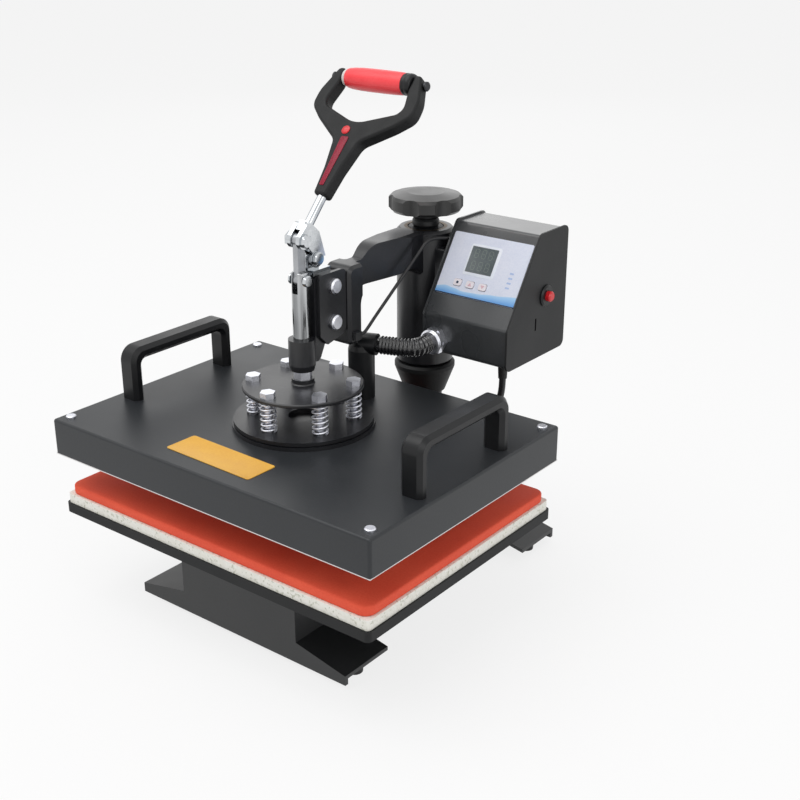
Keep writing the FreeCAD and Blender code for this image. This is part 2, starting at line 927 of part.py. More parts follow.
def make_springs():
    """Six coil springs round the bolts, each one unbroken wire."""
    low = disc_h + spring_wire
    climb = spring_h - 2 * spring_wire
    springs = []
    gap = None
    for centre in spring_places(low):
        def place(turn, centre=centre):
            angle = 2 * math.pi * turn
            flat = Vector(spring_r * math.cos(angle), spring_r * math.sin(angle), 0)
            return centre + flat + Vector(0, 0, climb * turn / spring_turns)
        edges, ways = wound(place, 0.0, float(spring_turns), turn_step)
        springs.append(wire_tube(edges, spring_wire, wire_sides, place(0.0), ways[0]))
        if gap is None:
            gap = least_gap(place, 0.0, float(spring_turns), spring_wire, turn_step)
    print("springs least gap", round(gap, 2))
    return Part.makeCompound(springs)


def make_plunger():
    """Chromed plunger: a forked top for the link and a stud below."""
    top = clevis_pin_z + clevis_top
    solid = bar(plunger_r, head(0, 0, guide_low - seat_gap), head(0, 0, top))
    solid = softened(solid, plunger_r / 4, lambda e: at_height(e, z_cover_top + top))
    half = link_t / 2 + slot_play
    floor = clevis_pin_z - clevis_floor
    cut = block(-half, half, platen_y - plunger_r - overrun, platen_y + plunger_r + overrun,
                z_cover_top + floor, z_cover_top + top + overrun)
    solid = solid.cut(cut)
    solid = solid.cut(bar(clevis_pin_r, head(-plunger_r - overrun, 0, clevis_pin_z),
                          head(plunger_r + overrun, 0, clevis_pin_z)))
    stud = bar(stud_r, head(0, 0, plate_low), head(0, 0, guide_low - seat_gap))
    return solid.fuse(stud).removeSplitter()


def make_clevis_pins():
    """The plunger pin's two ends, one in each side of the fork."""
    pins = []
    for side in (-1, 1):
        face = head(side * plunger_r, 0, clevis_pin_z)
        pin = bar(clevis_pin_r, head(side * (link_t / 2 + slot_play), 0, clevis_pin_z), face)
        cap = eased_head(clevis_head_r, clevis_head_h, face, Vector(side, 0, 0))
        pins.append(pin.fuse(cap).removeSplitter())
    return Part.makeCompound(pins)


def make_plunger_tip():
    """Hexagon lock nut between the plunger and the pressure plate."""
    solid = hexagon(tip_flats, tip_h, head(0, 0, tip_low))
    return solid.cut(bar(stud_r + hole_play, head(0, 0, tip_low - overrun), head(0, 0, guide_low)))


def make_toggle_bracket():
    """Casting with the plunger's guide, a web and two cheeks round the arm's tongue."""
    bore = plunger_r + slip
    profile = [(bore, guide_low), (guide_toe_r, guide_low), (guide_r, guide_low + guide_toe_h),
               (guide_r, guide_high), (bore, guide_high)]
    guide = turned(profile, head(0, 0, 0))
    half = tongue_half + slip
    web_points = [head(-half, bracket_front, guide_low + guide_toe_h),
                  head(-half, bracket_front + guide_toe_h, guide_low + guide_toe_h),
                  head(-half, tongue_y, tongue_z0 - guide_toe_h), head(-half, tongue_y, bracket_top),
                  head(-half, bracket_front, bracket_top)]
    web = slab(web_points, [0, guide_toe_h, 0, 0, guide_toe_h], Vector(2 * half, 0, 0))
    web = web.cut(bar(bore, head(0, 0, guide_low - overrun), head(0, 0, bracket_top + overrun)))
    pieces = [web]
    back = leg_front - seat_gap
    for side in (-1, 1):
        x = side * half if side > 0 else -half - cheek_t
        front = bracket_front + guide_toe_h / 2
        outline = [head(x, front, guide_high), head(x, tongue_y, tongue_z0 - guide_toe_h),
                   head(x, back, tongue_z0), head(x, back, tongue_z1 + guide_toe_h / 2),
                   head(x, back - guide_toe_h, bracket_top), head(x, front, bracket_top)]
        cheek = slab(outline, [0, 0, cheek_toe_round, cheek_t, cheek_t, guide_toe_h], Vector(cheek_t, 0, 0))
        pieces.append(cheek)
    solid = guide.fuse(pieces).removeSplitter()
    for z in (bracket_bolt_z0, bracket_bolt_z1):
        solid = solid.cut(bar(bracket_bolt_r + hole_play, head(-arm_half * 2, bracket_bolt_y, z),
                              head(arm_half * 2, bracket_bolt_y, z)))
    return solid


def make_bracket_bolts():
    """Cross bolts that clamp the bracket's cheeks on the arm's tongue."""
    bolts = []
    for z in (bracket_bolt_z0, bracket_bolt_z1):
        face = tongue_half + slip + cheek_t
        bolts.append(headed_pin(bracket_bolt_y, z, face, bracket_bolt_r, bracket_head_r, bracket_head_h))
    return Part.makeCompound(bolts)


def headed_pin(y, z, face, radius, head_r, head_h):
    """A level pin along X with a round head on one side and a hexagon nut on the other."""
    right = Vector(1, 0, 0)
    left_face = head(-face, y, z)
    shank = bar(radius, left_face - right * head_h, head(face, y, z))
    cap = eased_head(head_r, head_h, head(face, y, z), right)
    nut = hexagon(bolt_flats, head_h, left_face - right * head_h, right)
    return cap.fuse([shank, nut]).removeSplitter()


def make_pivot_lug():
    """Chromed lug on the bracket that carries the lever's pivot."""
    top = bracket_top + lug_base_h
    half = tongue_half
    foot = block(-half, half, platen_y + lug_base_y0, platen_y + lug_base_y1,
                 z_cover_top + bracket_top, z_cover_top + top)
    thin = link_t / 2
    eye = bar(lug_r, head(-thin, pivot_y, pivot_z), head(thin, pivot_y, pivot_z))
    stalk_points = [head(-thin, pivot_y - lug_r, top), head(-thin, pivot_y + lug_r, top),
                    head(-thin, pivot_y + lug_r, pivot_z), head(-thin, pivot_y - lug_r, pivot_z)]
    stalk = slab(stalk_points, [0] * 4, Vector(2 * thin, 0, 0))
    solid = foot.fuse([eye, stalk]).removeSplitter()
    return solid.cut(bar(pin_r + slip, head(-half, pivot_y, pivot_z), head(half, pivot_y, pivot_z)))


def cross_pin(y, z, play):
    """A pin through the lever fork, with some play beside the fork's cheeks."""
    face = link_t / 2 + slot_play + fork_t + play
    return headed_pin(y, z, face, pin_r, pin_head_r, pin_head_h)


def make_toggle_link():
    """Flat link between the crank pin and the plunger's fork."""
    half_t = link_t / 2
    body = block(-half_t, half_t, platen_y - link_half, platen_y + link_half,
                 z_cover_top + clevis_pin_z, z_cover_top + crank_z)
    eyes = []
    for z in (clevis_pin_z, crank_z):
        eyes.append(bar(link_eye_r, head(-half_t, 0, z), head(half_t, 0, z)))
    solid = body.fuse(eyes).removeSplitter()
    for z, radius in ((clevis_pin_z, clevis_pin_r), (crank_z, pin_r)):
        solid = solid.cut(bar(radius + slip, head(-plunger_r, 0, z), head(plunger_r, 0, z)))
    return solid


def lever_place():
    """Frame of the lever: X across, Z along the rod, from the rod's root."""
    return Placement(head(0, rod_y, rod_z), Rotation(Vector(1, 0, 0), -lean))


def make_lever_fork():
    """Chromed fork: two cheeks over the lug and the link, joined by a block that holds the rod."""
    inner = link_t / 2 + slot_play
    local = lever_place().inverse()
    pivot = local.multVec(head(0, pivot_y, pivot_z))
    crank = local.multVec(head(0, 0, crank_z))
    pieces = []
    for side in (-1, 1):
        x0 = inner if side > 0 else -inner - fork_t
        hub = bar(fork_hub_r, Vector(x0, pivot.y, pivot.z), Vector(x0 + fork_t, pivot.y, pivot.z))
        eye = bar(fork_eye_r, Vector(x0, crank.y, crank.z), Vector(x0 + fork_t, crank.y, crank.z))
        outline = [Vector(x0, -block_half, block_end), Vector(x0, crank.y - fork_eye_r, crank.z),
                   Vector(x0, pivot.y, pivot.z), Vector(x0, pivot.y + fork_hub_r, pivot.z + fork_hub_r),
                   Vector(x0, block_half, block_end)]
        web = slab(outline, [fork_t, 0, 0, 0, fork_t], Vector(fork_t, 0, 0))
        pieces += [hub, eye, web]
    core = block(-inner, inner, -block_half, block_half, block_root, block_end)
    solid = core.fuse(pieces).removeSplitter()
    solid = solid.cut(bar(rod_r + slip, Vector(0, 0, rod_root), Vector(0, 0, block_end + overrun)))
    for place in (pivot, crank):
        reach = Vector(inner + fork_t + overrun, 0, 0)
        solid = solid.cut(bar(pin_r + slip, place - reach, place + reach))
    solid.Placement = lever_place()
    return solid


def make_lever_rod():
    """Chromed rod from the fork into the handle."""
    solid = bar(rod_r, Vector(0, 0, rod_root), Vector(0, 0, rod_end))
    solid.Placement = lever_place()
    return solid


def make_lever_handle():
    """Moulded handle: a neck that opens into a loop, with a lug at each end of the grip."""
    y = -handle_half_t
    half = [(neck_half, handle_start), (neck_mid_half, neck_mid), (yoke_half, yoke),
            (shoulder_half, shoulder), (loop_half, loop_wide), (loop_high_half, loop_high),
            (loop_top_half, loop_top), (lug_in, loop_top), (lug_in, grip_at - grip_end_r),
            (inner_side_half, inner_side)]
    half_radii = [neck_round, neck_mid_round, yoke_round, shoulder_bend, loop_round, loop_high_round,
                  loop_top_round, lug_round, lug_foot_round, inner_side_round]
    right = [Vector(x, y, z) for x, z in half]
    left = [Vector(-x, y, z) for x, z in reversed(half)]
    bottom = [Vector(0, y, inner_low)]
    points = right + bottom + left
    radii = half_radii + [inner_low_round] + half_radii[::-1]
    solid = slab(points, radii, Vector(0, 2 * handle_half_t, 0))
    flat_faces = (y, -y)
    solid = softened(solid, handle_edge, lambda e: any(
        abs(e.BoundBox.YMin - v) + abs(e.BoundBox.YMax - v) < tiny for v in flat_faces))
    solid = solid.cut(bar(rod_r + slip, Vector(0, 0, handle_start - overrun), Vector(0, 0, rod_end)))
    reach = loop_half + overrun
    bolt_hole = grip_bolt_r + hole_play
    solid = solid.cut(bar(bolt_hole, Vector(-reach, 0, grip_at), Vector(reach, 0, grip_at)))
    solid.Placement = lever_place()
    return solid


def make_grip_sleeve():
    """Soft grip, fuller in the middle, turned on the bolt between the lugs."""
    half = lug_in - seat_gap
    bore = grip_bolt_r + hole_play
    full = half * grip_full_share
    profile = [(bore, -half), (grip_end_r, -half), (grip_r, -full),
               (grip_r, full), (grip_end_r, half), (bore, half)]
    solid = turned(profile, Vector(0, 0, grip_at), Vector(1, 0, 0))
    solid.Placement = lever_place().multiply(solid.Placement)
    return solid


def make_grip_bolt():
    """Through bolt of the grip with a round head at each end."""
    face = grip_lug_face()
    solid = bar(grip_bolt_r, Vector(-face, 0, grip_at), Vector(face, 0, grip_at))
    for side in (-1, 1):
        seat = Vector(side * face, 0, grip_at)
        solid = solid.fuse(eased_head(grip_head_r, grip_head_h, seat, Vector(side, 0, 0)))
    solid = solid.removeSplitter()
    solid.Placement = lever_place()
    return solid


def grip_lug_face():
    """How far out the side of the loop is at the grip's height."""
    share = (grip_at + grip_head_r - loop_high) / (loop_top - loop_high)
    low_share = (grip_at - grip_head_r - loop_high) / (loop_top - loop_high)
    return max(loop_high_half + (loop_top_half - loop_high_half) * s for s in (share, low_share))


def make_swing_arm():
    """Cast arm: a column boss, a bridge over an arch, a front leg and a tongue for the bracket."""
    y0 = swing_reach
    points = [head(-arm_half, leg_front, leg_bottom), head(-arm_half, leg_back, leg_bottom),
              head(-arm_half, leg_back, arch_z), head(-arm_half, y0 - arm_boss_r, arch_z),
              head(-arm_half, y0 - arm_boss_r / 2, boss_web_z), head(-arm_half, y0, boss_web_z),
              head(-arm_half, y0, arm_top), head(-arm_half, bow_y + bow_run, arm_top),
              head(-arm_half, bow_y, bracket_top), head(-arm_half, leg_front, bracket_top)]
    radii = [leg_round, leg_round, arch_round, arch_back_round, 0, 0, 0, bow_round, bow_foot_round,
             leg_top_round]
    bridge = slab(points, radii, Vector(2 * arm_half, 0, 0))
    sides = (-arm_half, arm_half)
    bridge = bevelled(bridge, arm_edge, lambda e: e.BoundBox.YMax < column_y - tiny and any(
        abs(e.BoundBox.XMin - v) + abs(e.BoundBox.XMax - v) < tiny for v in sides))
    waist = y0 - arm_boss_r - waist_back
    for side in (-1, 1):
        wide = 2 * side * arm_half
        plan = [head(side * web_half, leg_back, leg_bottom), head(wide, leg_back, leg_bottom),
                head(wide, waist, leg_bottom), head(side * arm_half, waist, leg_bottom),
                head(side * web_half, bow_y, leg_bottom)]
        bridge = bridge.cut(slab(plan, [leg_round, 0, 0, 0, arch_round], Vector(0, 0, arm_top)))
    low = collar_top + seat_gap - z_cover_top
    rim = arm_edge
    profile = [(0, low), (arm_boss_r - rim, low), (arm_boss_r, low + rim), (arm_boss_r, arm_boss_top - rim),
               (arm_boss_r - rim, arm_boss_top), (0, arm_boss_top)]
    boss = turned(profile, head(0, y0, 0))
    tongue = block(-tongue_half, tongue_half,
                   platen_y + tongue_y + seat_gap, platen_y + leg_front + arm_edge,
                   z_cover_top + tongue_z0, z_cover_top + tongue_z1)
    clip = block(arm_half - arm_edge, arm_half + 2 * (cable_r + cable_stand), platen_y + cable_clip_y,
                 platen_y + cable_clip_y + cable_clip_l, z_cover_top + cable_clip_z - cable_clip_h / 2,
                 z_cover_top + cable_clip_z + cable_clip_h / 2)
    solid = bridge.fuse([boss, tongue, clip]).removeSplitter()
    cap = block(-cover_w, cover_w, platen_y + y0 - arm_boss_r, platen_y + y0 + arm_boss_r,
                z_cover_top + arm_boss_top, z_cover_top + arm_top + overrun)
    solid = solid.cut(cap)
    bore = post_r + slip + seat_gap
    solid = solid.cut(bar(bore, head(0, y0, low - overrun), head(0, y0, arm_top + overrun)))
    for z in bush_levels():
        solid = solid.cut(bar(bush_r, head(0, y0, z), head(0, y0, z + bush_h)))
    low_bush = bush_levels()[0]
    solid = solid.cut(bar(bush_r, head(0, y0, low_bush - overrun), head(0, y0, low_bush + overrun)))
    for z in (bracket_bolt_z0, bracket_bolt_z1):
        solid = solid.cut(bar(bracket_bolt_r + hole_play, head(-arm_half, bracket_bolt_y, z),
                              head(arm_half, bracket_bolt_y, z)))
    return solid


def bush_levels():
    """Heights of the two bushes in the boss, above the cover."""
    return collar_top + seat_gap - z_cover_top, arm_boss_top - bush_h


def make_arm_bushes():
    """Bronze bushes at the bottom and top of the boss."""
    bushes = []
    for z in bush_levels():
        low, high = head(0, swing_reach, z), head(0, swing_reach, z + bush_h)
        past = Vector(0, 0, overrun)
        bushes.append(bar(bush_r, low, high).cut(bar(post_r + slip, low - past, high + past)))
    return Part.makeCompound(bushes)


def make_pressure_knob():
    """Lobed hand knob with a raised top."""
    flat = knob_r - knob_edge
    crown = flat * knob_crown_share
    profile = [(0, 0), (flat, 0), (knob_r, knob_edge), (knob_r, knob_h - knob_edge), (flat, knob_h),
               (crown, knob_h + knob_dome), (0, knob_h + knob_dome)]
    solid = turned(profile, head(0, swing_reach, knob_z))
    reach = knob_r - knob_scoop_depth + knob_scoop_r
    for place in ring_places(knob_lobes, reach, head(0, swing_reach, knob_z - overrun), 180 / knob_lobes):
        tall = knob_h + knob_dome + 2 * overrun
        solid = solid.cut(bar(knob_scoop_r, place, place + Vector(0, 0, tall)))
    low, high = head(0, swing_reach, knob_z - overrun), head(0, swing_reach, knob_z + knob_h / 2)
    return solid.cut(bar(knob_shank_r, low, high))


def make_knob_screw():
    """Pressure screw: a ridged stem under the knob and a shank in the post."""
    low = arm_boss_top + seat_gap
    tall = knob_z - low
    pitch = tall / stem_ridges
    profile = [(0, low)]
    for ridge in range(stem_ridges):
        z = low + ridge * pitch
        profile += [(stem_r - stem_groove, z), (stem_r, z + pitch / 4), (stem_r, z + pitch * 3 / 4),
                    (stem_r - stem_groove, z + pitch)]
    profile.append((0, knob_z))
    stem = turned(profile, head(0, swing_reach, 0))
    shank = bar(knob_shank_r, head(0, swing_reach, arm_boss_top - knob_shank_h),
                head(0, swing_reach, knob_z + knob_h / 2))
    return stem.fuse(shank).removeSplitter()


def box_outline(x, grow):
    """Side outline of the control box, grown outwards by a wall or a rim."""
    tilt = math.radians(slope_angle)
    corner_low = grow * math.tan((math.pi / 2 - tilt) / 2)
    corner_high = grow * math.tan(tilt / 2)
    back, top = box_front + box_depth, box_bottom + box_h
    return [head(x, box_front - grow, box_bottom - grow), head(x, back + grow, box_bottom - grow),
            head(x, back + grow, top + grow), head(x, box_front + slope_run - corner_high, top + grow),
            head(x, box_front - grow, box_bottom + box_sill_h + corner_low)]


def panel_place():
    """Frame of the sloping panel: X across, Y up the slope, Z outwards."""
    corner = head(box_x0, box_front, box_bottom + box_sill_h)
    return Placement(corner, Rotation(Vector(1, 0, 0), slope_angle))


def panel_block(x, width, y, height, low, high, corner=0.0):
    """A block set into the sloping panel."""
    solid = block(x, x + width, y, y + height, low, high)
    if corner:
        solid = softened(solid, corner, upright)
    solid.Placement = panel_place()
    return solid


def panel_cuts(low, high):
    """Openings for the display and the keys, through one layer of the panel."""
    play = slot_play
    cuts = [panel_block(display_x0 - play, display_w + 2 * play,
                        display_y0 - play, display_h + 2 * play, low, high)]
    for index in range(key_count):
        x = key_x0 + index * key_pitch - key_w / 2 - play
        y = key_y - key_h / 2 - play
        cuts.append(panel_block(x, key_w + 2 * play, y, key_h + 2 * play, low, high, key_corner))
    return cuts


def make_box_wrap():
    """Folded sheet round the control box: sill, sloping panel, roof, back and floor."""
    x0, width = box_x0 + side_t, box_w - 2 * side_t
    radii = [box_round] * 5
    inner_radii = [box_round - box_t] * 5
    shell = slab(box_outline(x0, 0), radii, Vector(width, 0, 0))
    room = slab(box_outline(x0 - overrun, -box_t), inner_radii, Vector(width + 2 * overrun, 0, 0))
    solid = shell.cut(room)
    solid = solid.cut(panel_cuts(-box_t - overrun, overrun))
    gland = head(gland_x, box_front, outlet_z)
    solid = solid.cut(bar(hose_bore_r, gland - Vector(0, overrun, 0), gland + Vector(0, box_t + overrun, 0)))
    exit_point = cord_exit()
    up = Vector(0, 0, box_t + overrun)
    return solid.cut(bar(cord_r + hole_play, exit_point - up, exit_point + up))


def make_box_side(x):
    """End plate of the control box, with a rim that stands past the wrap."""
    solid = slab(box_outline(x, side_rim), [box_round + side_rim] * 5, Vector(side_t, 0, 0))
    if x == box_x0:
        low = head(x - grommet_t, grommet_y, grommet_z - grommet_h / 2)
        solid = solid.fuse(Part.makeBox(grommet_t, grommet_l, grommet_h, low)).removeSplitter()
    else:
        centre = head(x, button_y, button_z)
        out = Vector(side_t + overrun, 0, 0)
        solid = solid.cut(bar(bezel_body_r + hole_play, centre - Vector(overrun, 0, 0), centre + out))
        slot = Part.makeBox(side_t + 2 * overrun, slot_w, slot_h, head(x - overrun, slot_y, slot_z))
        solid = solid.cut(slot)
    return solid


def make_box_bracket():
    """Saddle that carries the control box on the arm's boss."""
    solid = block(saddle_x0, box_x0, column_y - saddle_half, column_y + saddle_half,
                  z_cover_top + saddle_z0, z_cover_top + saddle_z1)
    solid = softened(solid, arm_edge, across)
    return solid.cut(bar(arm_boss_r, head(0, swing_reach, 0), head(0, swing_reach, arm_top)))


def make_panel_overlay():
    """Printed film on the sloping panel."""
    solid = panel_block(overlay_x0, overlay_w, overlay_y0, overlay_h, 0, overlay_t, key_corner)
    return solid.cut(panel_cuts(-overrun, overlay_t + overrun))


def make_display_window():
    """Display module in its window."""
    low = display_proud + overlay_t - display_t
    high = overlay_t + display_proud
    return panel_block(display_x0, display_w, display_y0, display_h, low, high, display_proud)


def make_key(index):
    """One push key of the panel."""
    x, y = key_x0 + index * key_pitch - key_w / 2, key_y - key_h / 2
    return panel_block(x, key_w, y, key_h, key_proud - key_t, overlay_t + key_proud, key_corner)


def make_circuit_board():
    """Controller board on four spacers behind the panel, with its relay."""
    face = -box_t - spacer_h
    pieces = []
    for x in (board_x0 + spacer_inset, board_x0 + board_len - spacer_inset):
        for y in (board_y0 + spacer_inset, board_y0 + board_tall - spacer_inset):
            pieces.append(bar(spacer_r, Vector(x, y, face), Vector(x, y, -box_t)))
    back = face - circuit_t
    pieces.append(block(board_x0 + spacer_inset, board_x0 + spacer_inset + relay_w,
                        board_y0 + spacer_inset, board_y0 + spacer_inset + relay_l, back - relay_h, back))
    sheet = block(board_x0, board_x0 + board_len, board_y0, board_y0 + board_tall, back, face)
    solid = sheet.fuse(pieces).removeSplitter()
    solid.Placement = panel_place()
    return solid


def make_button_bezel():
    """Black bezel of the power button, snapped into the end plate."""
    bore = button_r + slot_play
    profile = [(bore, -bezel_body), (bezel_body_r, -bezel_body), (bezel_body_r, 0), (bezel_r, 0),
               (bezel_r, bezel_h / 2), (bezel_r - bezel_h / 2, bezel_h), (bore, bezel_h)]
    return turned(profile, head(box_x1, button_y, button_z), Vector(1, 0, 0))


def make_power_button():
    """Red push button with a domed face."""
    ease = button_r / 4
    profile = [(0, -button_tail), (button_r, -button_tail), (button_r, button_proud - ease),
               (button_r - ease, button_proud), (0, button_proud)]
    return turned(profile, head(box_x1, button_y, button_z), Vector(1, 0, 0))


def make_hose_gland():
    """Threaded gland on the sill of the control box."""
    face = head(gland_x, box_front, outlet_z)
    out = Vector(0, -1, 0)
    nut = hexagon(gland_flats, gland_nut_h, face, out)
    cap = eased_head(gland_r - hole_play, gland_h - gland_nut_h, face + out * gland_nut_h, out)
    solid = nut.fuse(cap).removeSplitter()
    return solid.cut(bar(hose_bore_r, face - out * overrun, face + out * (gland_h + overrun)))


def make_hose_elbow():
    """Elbow on the lid that turns the heater's wires into the hose."""
    profile = [(0, 0), (elbow_r, 0)]
    for step in range(elbow_dome_steps + 1):
        angle = math.pi / 2 * step / elbow_dome_steps
        profile.append((elbow_r * math.cos(angle), elbow_z + elbow_r * math.sin(angle)))
    profile[-1] = (0, elbow_z + elbow_r)
    stem = turned(profile, head(0, elbow_y, 0))
    middle, way = head(0, elbow_y, outlet_z), outlet_way()
    solid = stem.fuse(bar(outlet_r, middle, middle + way * outlet_l)).removeSplitter()
    way_in = bar(hose_bore_r, middle, middle + way * (outlet_l + overrun))
    way_down = bar(hose_bore_r, head(0, elbow_y, -overrun), middle)
    return solid.cut(way_in).cut(way_down)


def outlet_way():
    """The way in which the hose leaves its elbow."""
    angle = math.radians(outlet_turn)
    return Vector(math.cos(angle), math.sin(angle), 0)


def make_cable_hose():
    """Ribbed hose from the elbow to the gland, hollow, with plain ends."""
    middle, way = head(0, elbow_y, outlet_z), outlet_way()
    points = [middle + way * outlet_l, middle + way * (gland_x / way.x),
              head(gland_x, box_front - gland_h, outlet_z)]
    wire = rounded(points, [0, hose_turn_r, 0], closed=False)
    length = wire.Length
    ribs = int((length - 2 * hose_end) / hose_rib)
    start = (length - ribs * hose_rib) / 2
    stations = [(0, hose_root_r)]
    for rib in range(ribs):
        at = start + rib * hose_rib
        stations += [(at, hose_root_r), (at + hose_rib / 4, hose_r), (at + hose_rib / 2, hose_r),
                     (at + hose_rib * 3 / 4, hose_root_r)]
    stations.append((length, hose_root_r))
    outer = Part.makeLoft([hose_ring(wire, at, radius) for at, radius in stations], True, True)
    bore = tube(wire.Edges, hose_bore_r, points[0], points[1] - points[0])
    print("hose length", round(length, 1), "ribs", ribs)
    return outer.cut(bore)


def hose_ring(wire, at, radius):
    """A circle square to the hose at a length along it, with a steady first point."""
    left = at
    for edge in wire.OrderedEdges:
        if left <= edge.Length + tiny:
            break
        left -= edge.Length
    forward = edge.Orientation == "Forward"
    along = left if forward else edge.Length - left
    value = edge.getParameterByLength(max(0.0, min(along, edge.Length)))
    way = edge.tangentAt(value)
    circle = Part.Circle(edge.valueAt(value), way if forward else -way, radius)
    steady = Vector(0, 0, 1)
    circle.XAxis = (steady - way * steady.dot(way)).normalize()
    return Part.Wire(circle.toShape())


def make_side_handle(side):
    """Pull handle on the lid, a crowned bar on two legs."""
    x = side * side_handle_x - side_handle_w / 2
    y0, y1, top, thick = side_handle_y0, side_handle_y1, side_handle_h, side_handle_t
    points = [head(x, y0, 0), head(x, y0 + thick, 0), head(x, y0 + thick, top - thick),
              head(x, y1 - thick, top - thick), head(x, y1 - thick, 0), head(x, y1, 0),
              head(x, y1, top), head(x, y0, top)]
    inner, outer = side_handle_in_r, side_handle_out_r
    solid = slab(points, [0, 0, inner, inner, 0, 0, outer, outer], Vector(side_handle_w, 0, 0))
    faces = (x, x + side_handle_w)
    return bevelled(solid, side_handle_edge, lambda e: e.BoundBox.ZMax > z_cover_top and any(
        abs(e.BoundBox.XMin - v) + abs(e.BoundBox.XMax - v) < tiny for v in faces))


def cable_end():
    """Where the sensor cable meets its boss on the arm's leg."""
    return head(arm_half + cable_r + cable_stand, cable_clip_y + cable_clip_l, cable_clip_z)


def make_sensor_cable():
    """Thin cable pulled straight beside the arm, from the control box to a boss on the leg."""
    back = swing_reach
    points = [head(box_x0 - grommet_t / 2, grommet_y, grommet_z), head(35.5, back - 6.5, 149.0),
              head(33.2, back - 14.5, 150.8), head(29.8, back - 23.5, 152.3), head(26.0, back - 33.0, 150.5),
              head(18.4, 85.0, 86.5), head(18.1, 76.0, 79.3), head(18.1, 70.5, 76.0)]
    points.append(cable_end())
    return route_tube(points, cable_r, "sensor cable")


def cord_exit():
    """Where the mains cord leaves the floor of the control box."""
    return head(cord_exit_x, cord_exit_y, box_bottom)


def cord_route():
    """The mains cord's free stretch, from its strain relief to its coil."""
    start = cord_exit() - Vector(0, 0, relief_h)
    back = base_back
    points = [start, Vector(113.0, 121.0, 204.0), Vector(109.6, 122.0, 190.0),
              Vector(103.5, 126.0, 165.0), Vector(98.5, 134.0, 139.0), Vector(95.0, 146.0, 113.0),
              Vector(93.0, back - 40.0, 87.0), Vector(90.0, back - 24.0, 63.0),
              Vector(86.0, back - 6.0, 41.5), Vector(80.0, back + 11.5, 23.5),
              Vector(71.0, back + 26.5, 10.7), Vector(60.0, back + 37.0, 4.8),
              Vector(47.5, back + 44.4, 3.6), Vector(38.3, back + 53.5, 3.6),
              Vector(31.7, back + 64.6, 3.6)]
    way = coil_way(0.0)
    end = coil_place(0.0) - way * (2 * cord_r)
    return points + [end - way * coil_lead, end]


def make_strain_relief():
    """Tapered rubber sleeve where the cord leaves the box."""
    top = cord_exit()
    shoulder_r = relief_r - relief_collar / 2
    profile = [(0, 0), (relief_r, 0), (relief_r, -relief_collar), (shoulder_r, -relief_collar),
               (relief_neck, -relief_h), (0, -relief_h)]
    return turned(profile, top)


def coil_place(turn):
    """A point of the put-away coil: in on the floor, a climb, and out again on top."""
    half = turn_step
    low, high = cord_r + coil_lift, cord_r + coil_lift + coil_pitch
    inner_r = coil_outer_r - coil_pitch * coil_layer_turns
    if turn <= coil_layer_turns:
        radius, z = coil_outer_r - coil_pitch * turn, low
    elif turn <= coil_layer_turns + half:
        share = (turn - coil_layer_turns) / half
        radius = inner_r - coil_pitch * half * share * (1 - share)
        z = low + (high - low) * (1 - math.cos(math.pi * share)) / 2
    else:
        radius, z = inner_r + coil_pitch * (turn - coil_layer_turns - half), high
    angle = 2 * math.pi * turn
    centre = Vector(coil_x, base_back + coil_y, z)
    return centre + Vector(radius * math.cos(angle), radius * math.sin(angle), 0)


def coil_way(turn):
    """The way the coil runs at one of its turns."""
    return (coil_place(turn + turn_nudge) - coil_place(turn - turn_nudge)).normalize()


def coil_end():
    """How many turns the coil has."""
    return 2 * coil_layer_turns + turn_step


def make_cord_coil():
    """Put-away length of the cord, wound in two layers, with a short straight end on each side."""
    end = coil_end()
    lead = 2 * cord_r
    edges, ways = wound(coil_place, 0.0, end, turn_step)
    first, last = coil_place(0.0), coil_place(end)
    edges.insert(0, Part.LineSegment(first - ways[0] * lead, first).toShape())
    edges.append(Part.LineSegment(last, last + ways[-1] * lead).toShape())
    solid = wire_tube(edges, cord_r, cord_sides, first - ways[0] * lead, ways[0])
    print("coil length", round(sum(edge.Length for edge in edges)), "least gap",
          round(least_gap(coil_place, 0.0, end, cord_r, turn_step), 2))
    return solid


def make_mains_plug():
    """Two-blade plug that ends the cord, lying where the coil's outer turn leaves."""
    way = coil_way(coil_end())
    start = coil_place(coil_end()) + way * (2 * cord_r)
    tail = Part.makeCone(cord_r, plug_h / 3, plug_tail)
    tail.Placement = Placement(start, Rotation(Vector(0, 0, 1), way))
    side = way.cross(Vector(0, 0, 1))
    place = Placement(start + way * plug_tail, Rotation(side, Vector(0, 0, 1), way, "ZXY"))
    waist = plug_l / 2
    thin = plug_ring(plug_w - 2 * plug_taper, plug_h - plug_taper, 0)
    body = Part.makeLoft([thin, plug_ring(plug_w, plug_h, waist)], True, True)
    front = Part.Face(plug_ring(plug_w, plug_h, waist)).extrude(Vector(0, 0, plug_l - waist))
    solid = body.fuse(front)
    for x in (-blade_pitch / 2, blade_pitch / 2):
        blade = block(x - blade_t / 2, x + blade_t / 2, -blade_w / 2, blade_w / 2, plug_l, plug_l + blade_l)
        solid = solid.fuse(blade)
    solid.Placement = place
    return solid.fuse(tail).removeSplitter()


def plug_ring(width, height, at):
    """A section of the plug: a rectangle with its corners cut off."""
    cut = plug_taper / 2
    corners = []
    for x, y in ((-1, -1), (1, -1), (1, 1), (-1, 1)):
        flat = Vector(x * (width / 2 - cut), y * height / 2, at)
        tall = Vector(x * width / 2, y * (height / 2 - cut), at)
        corners += [flat, tall] if x * y < 0 else [tall, flat]
    return Part.makePolygon(corners + corners[:1])


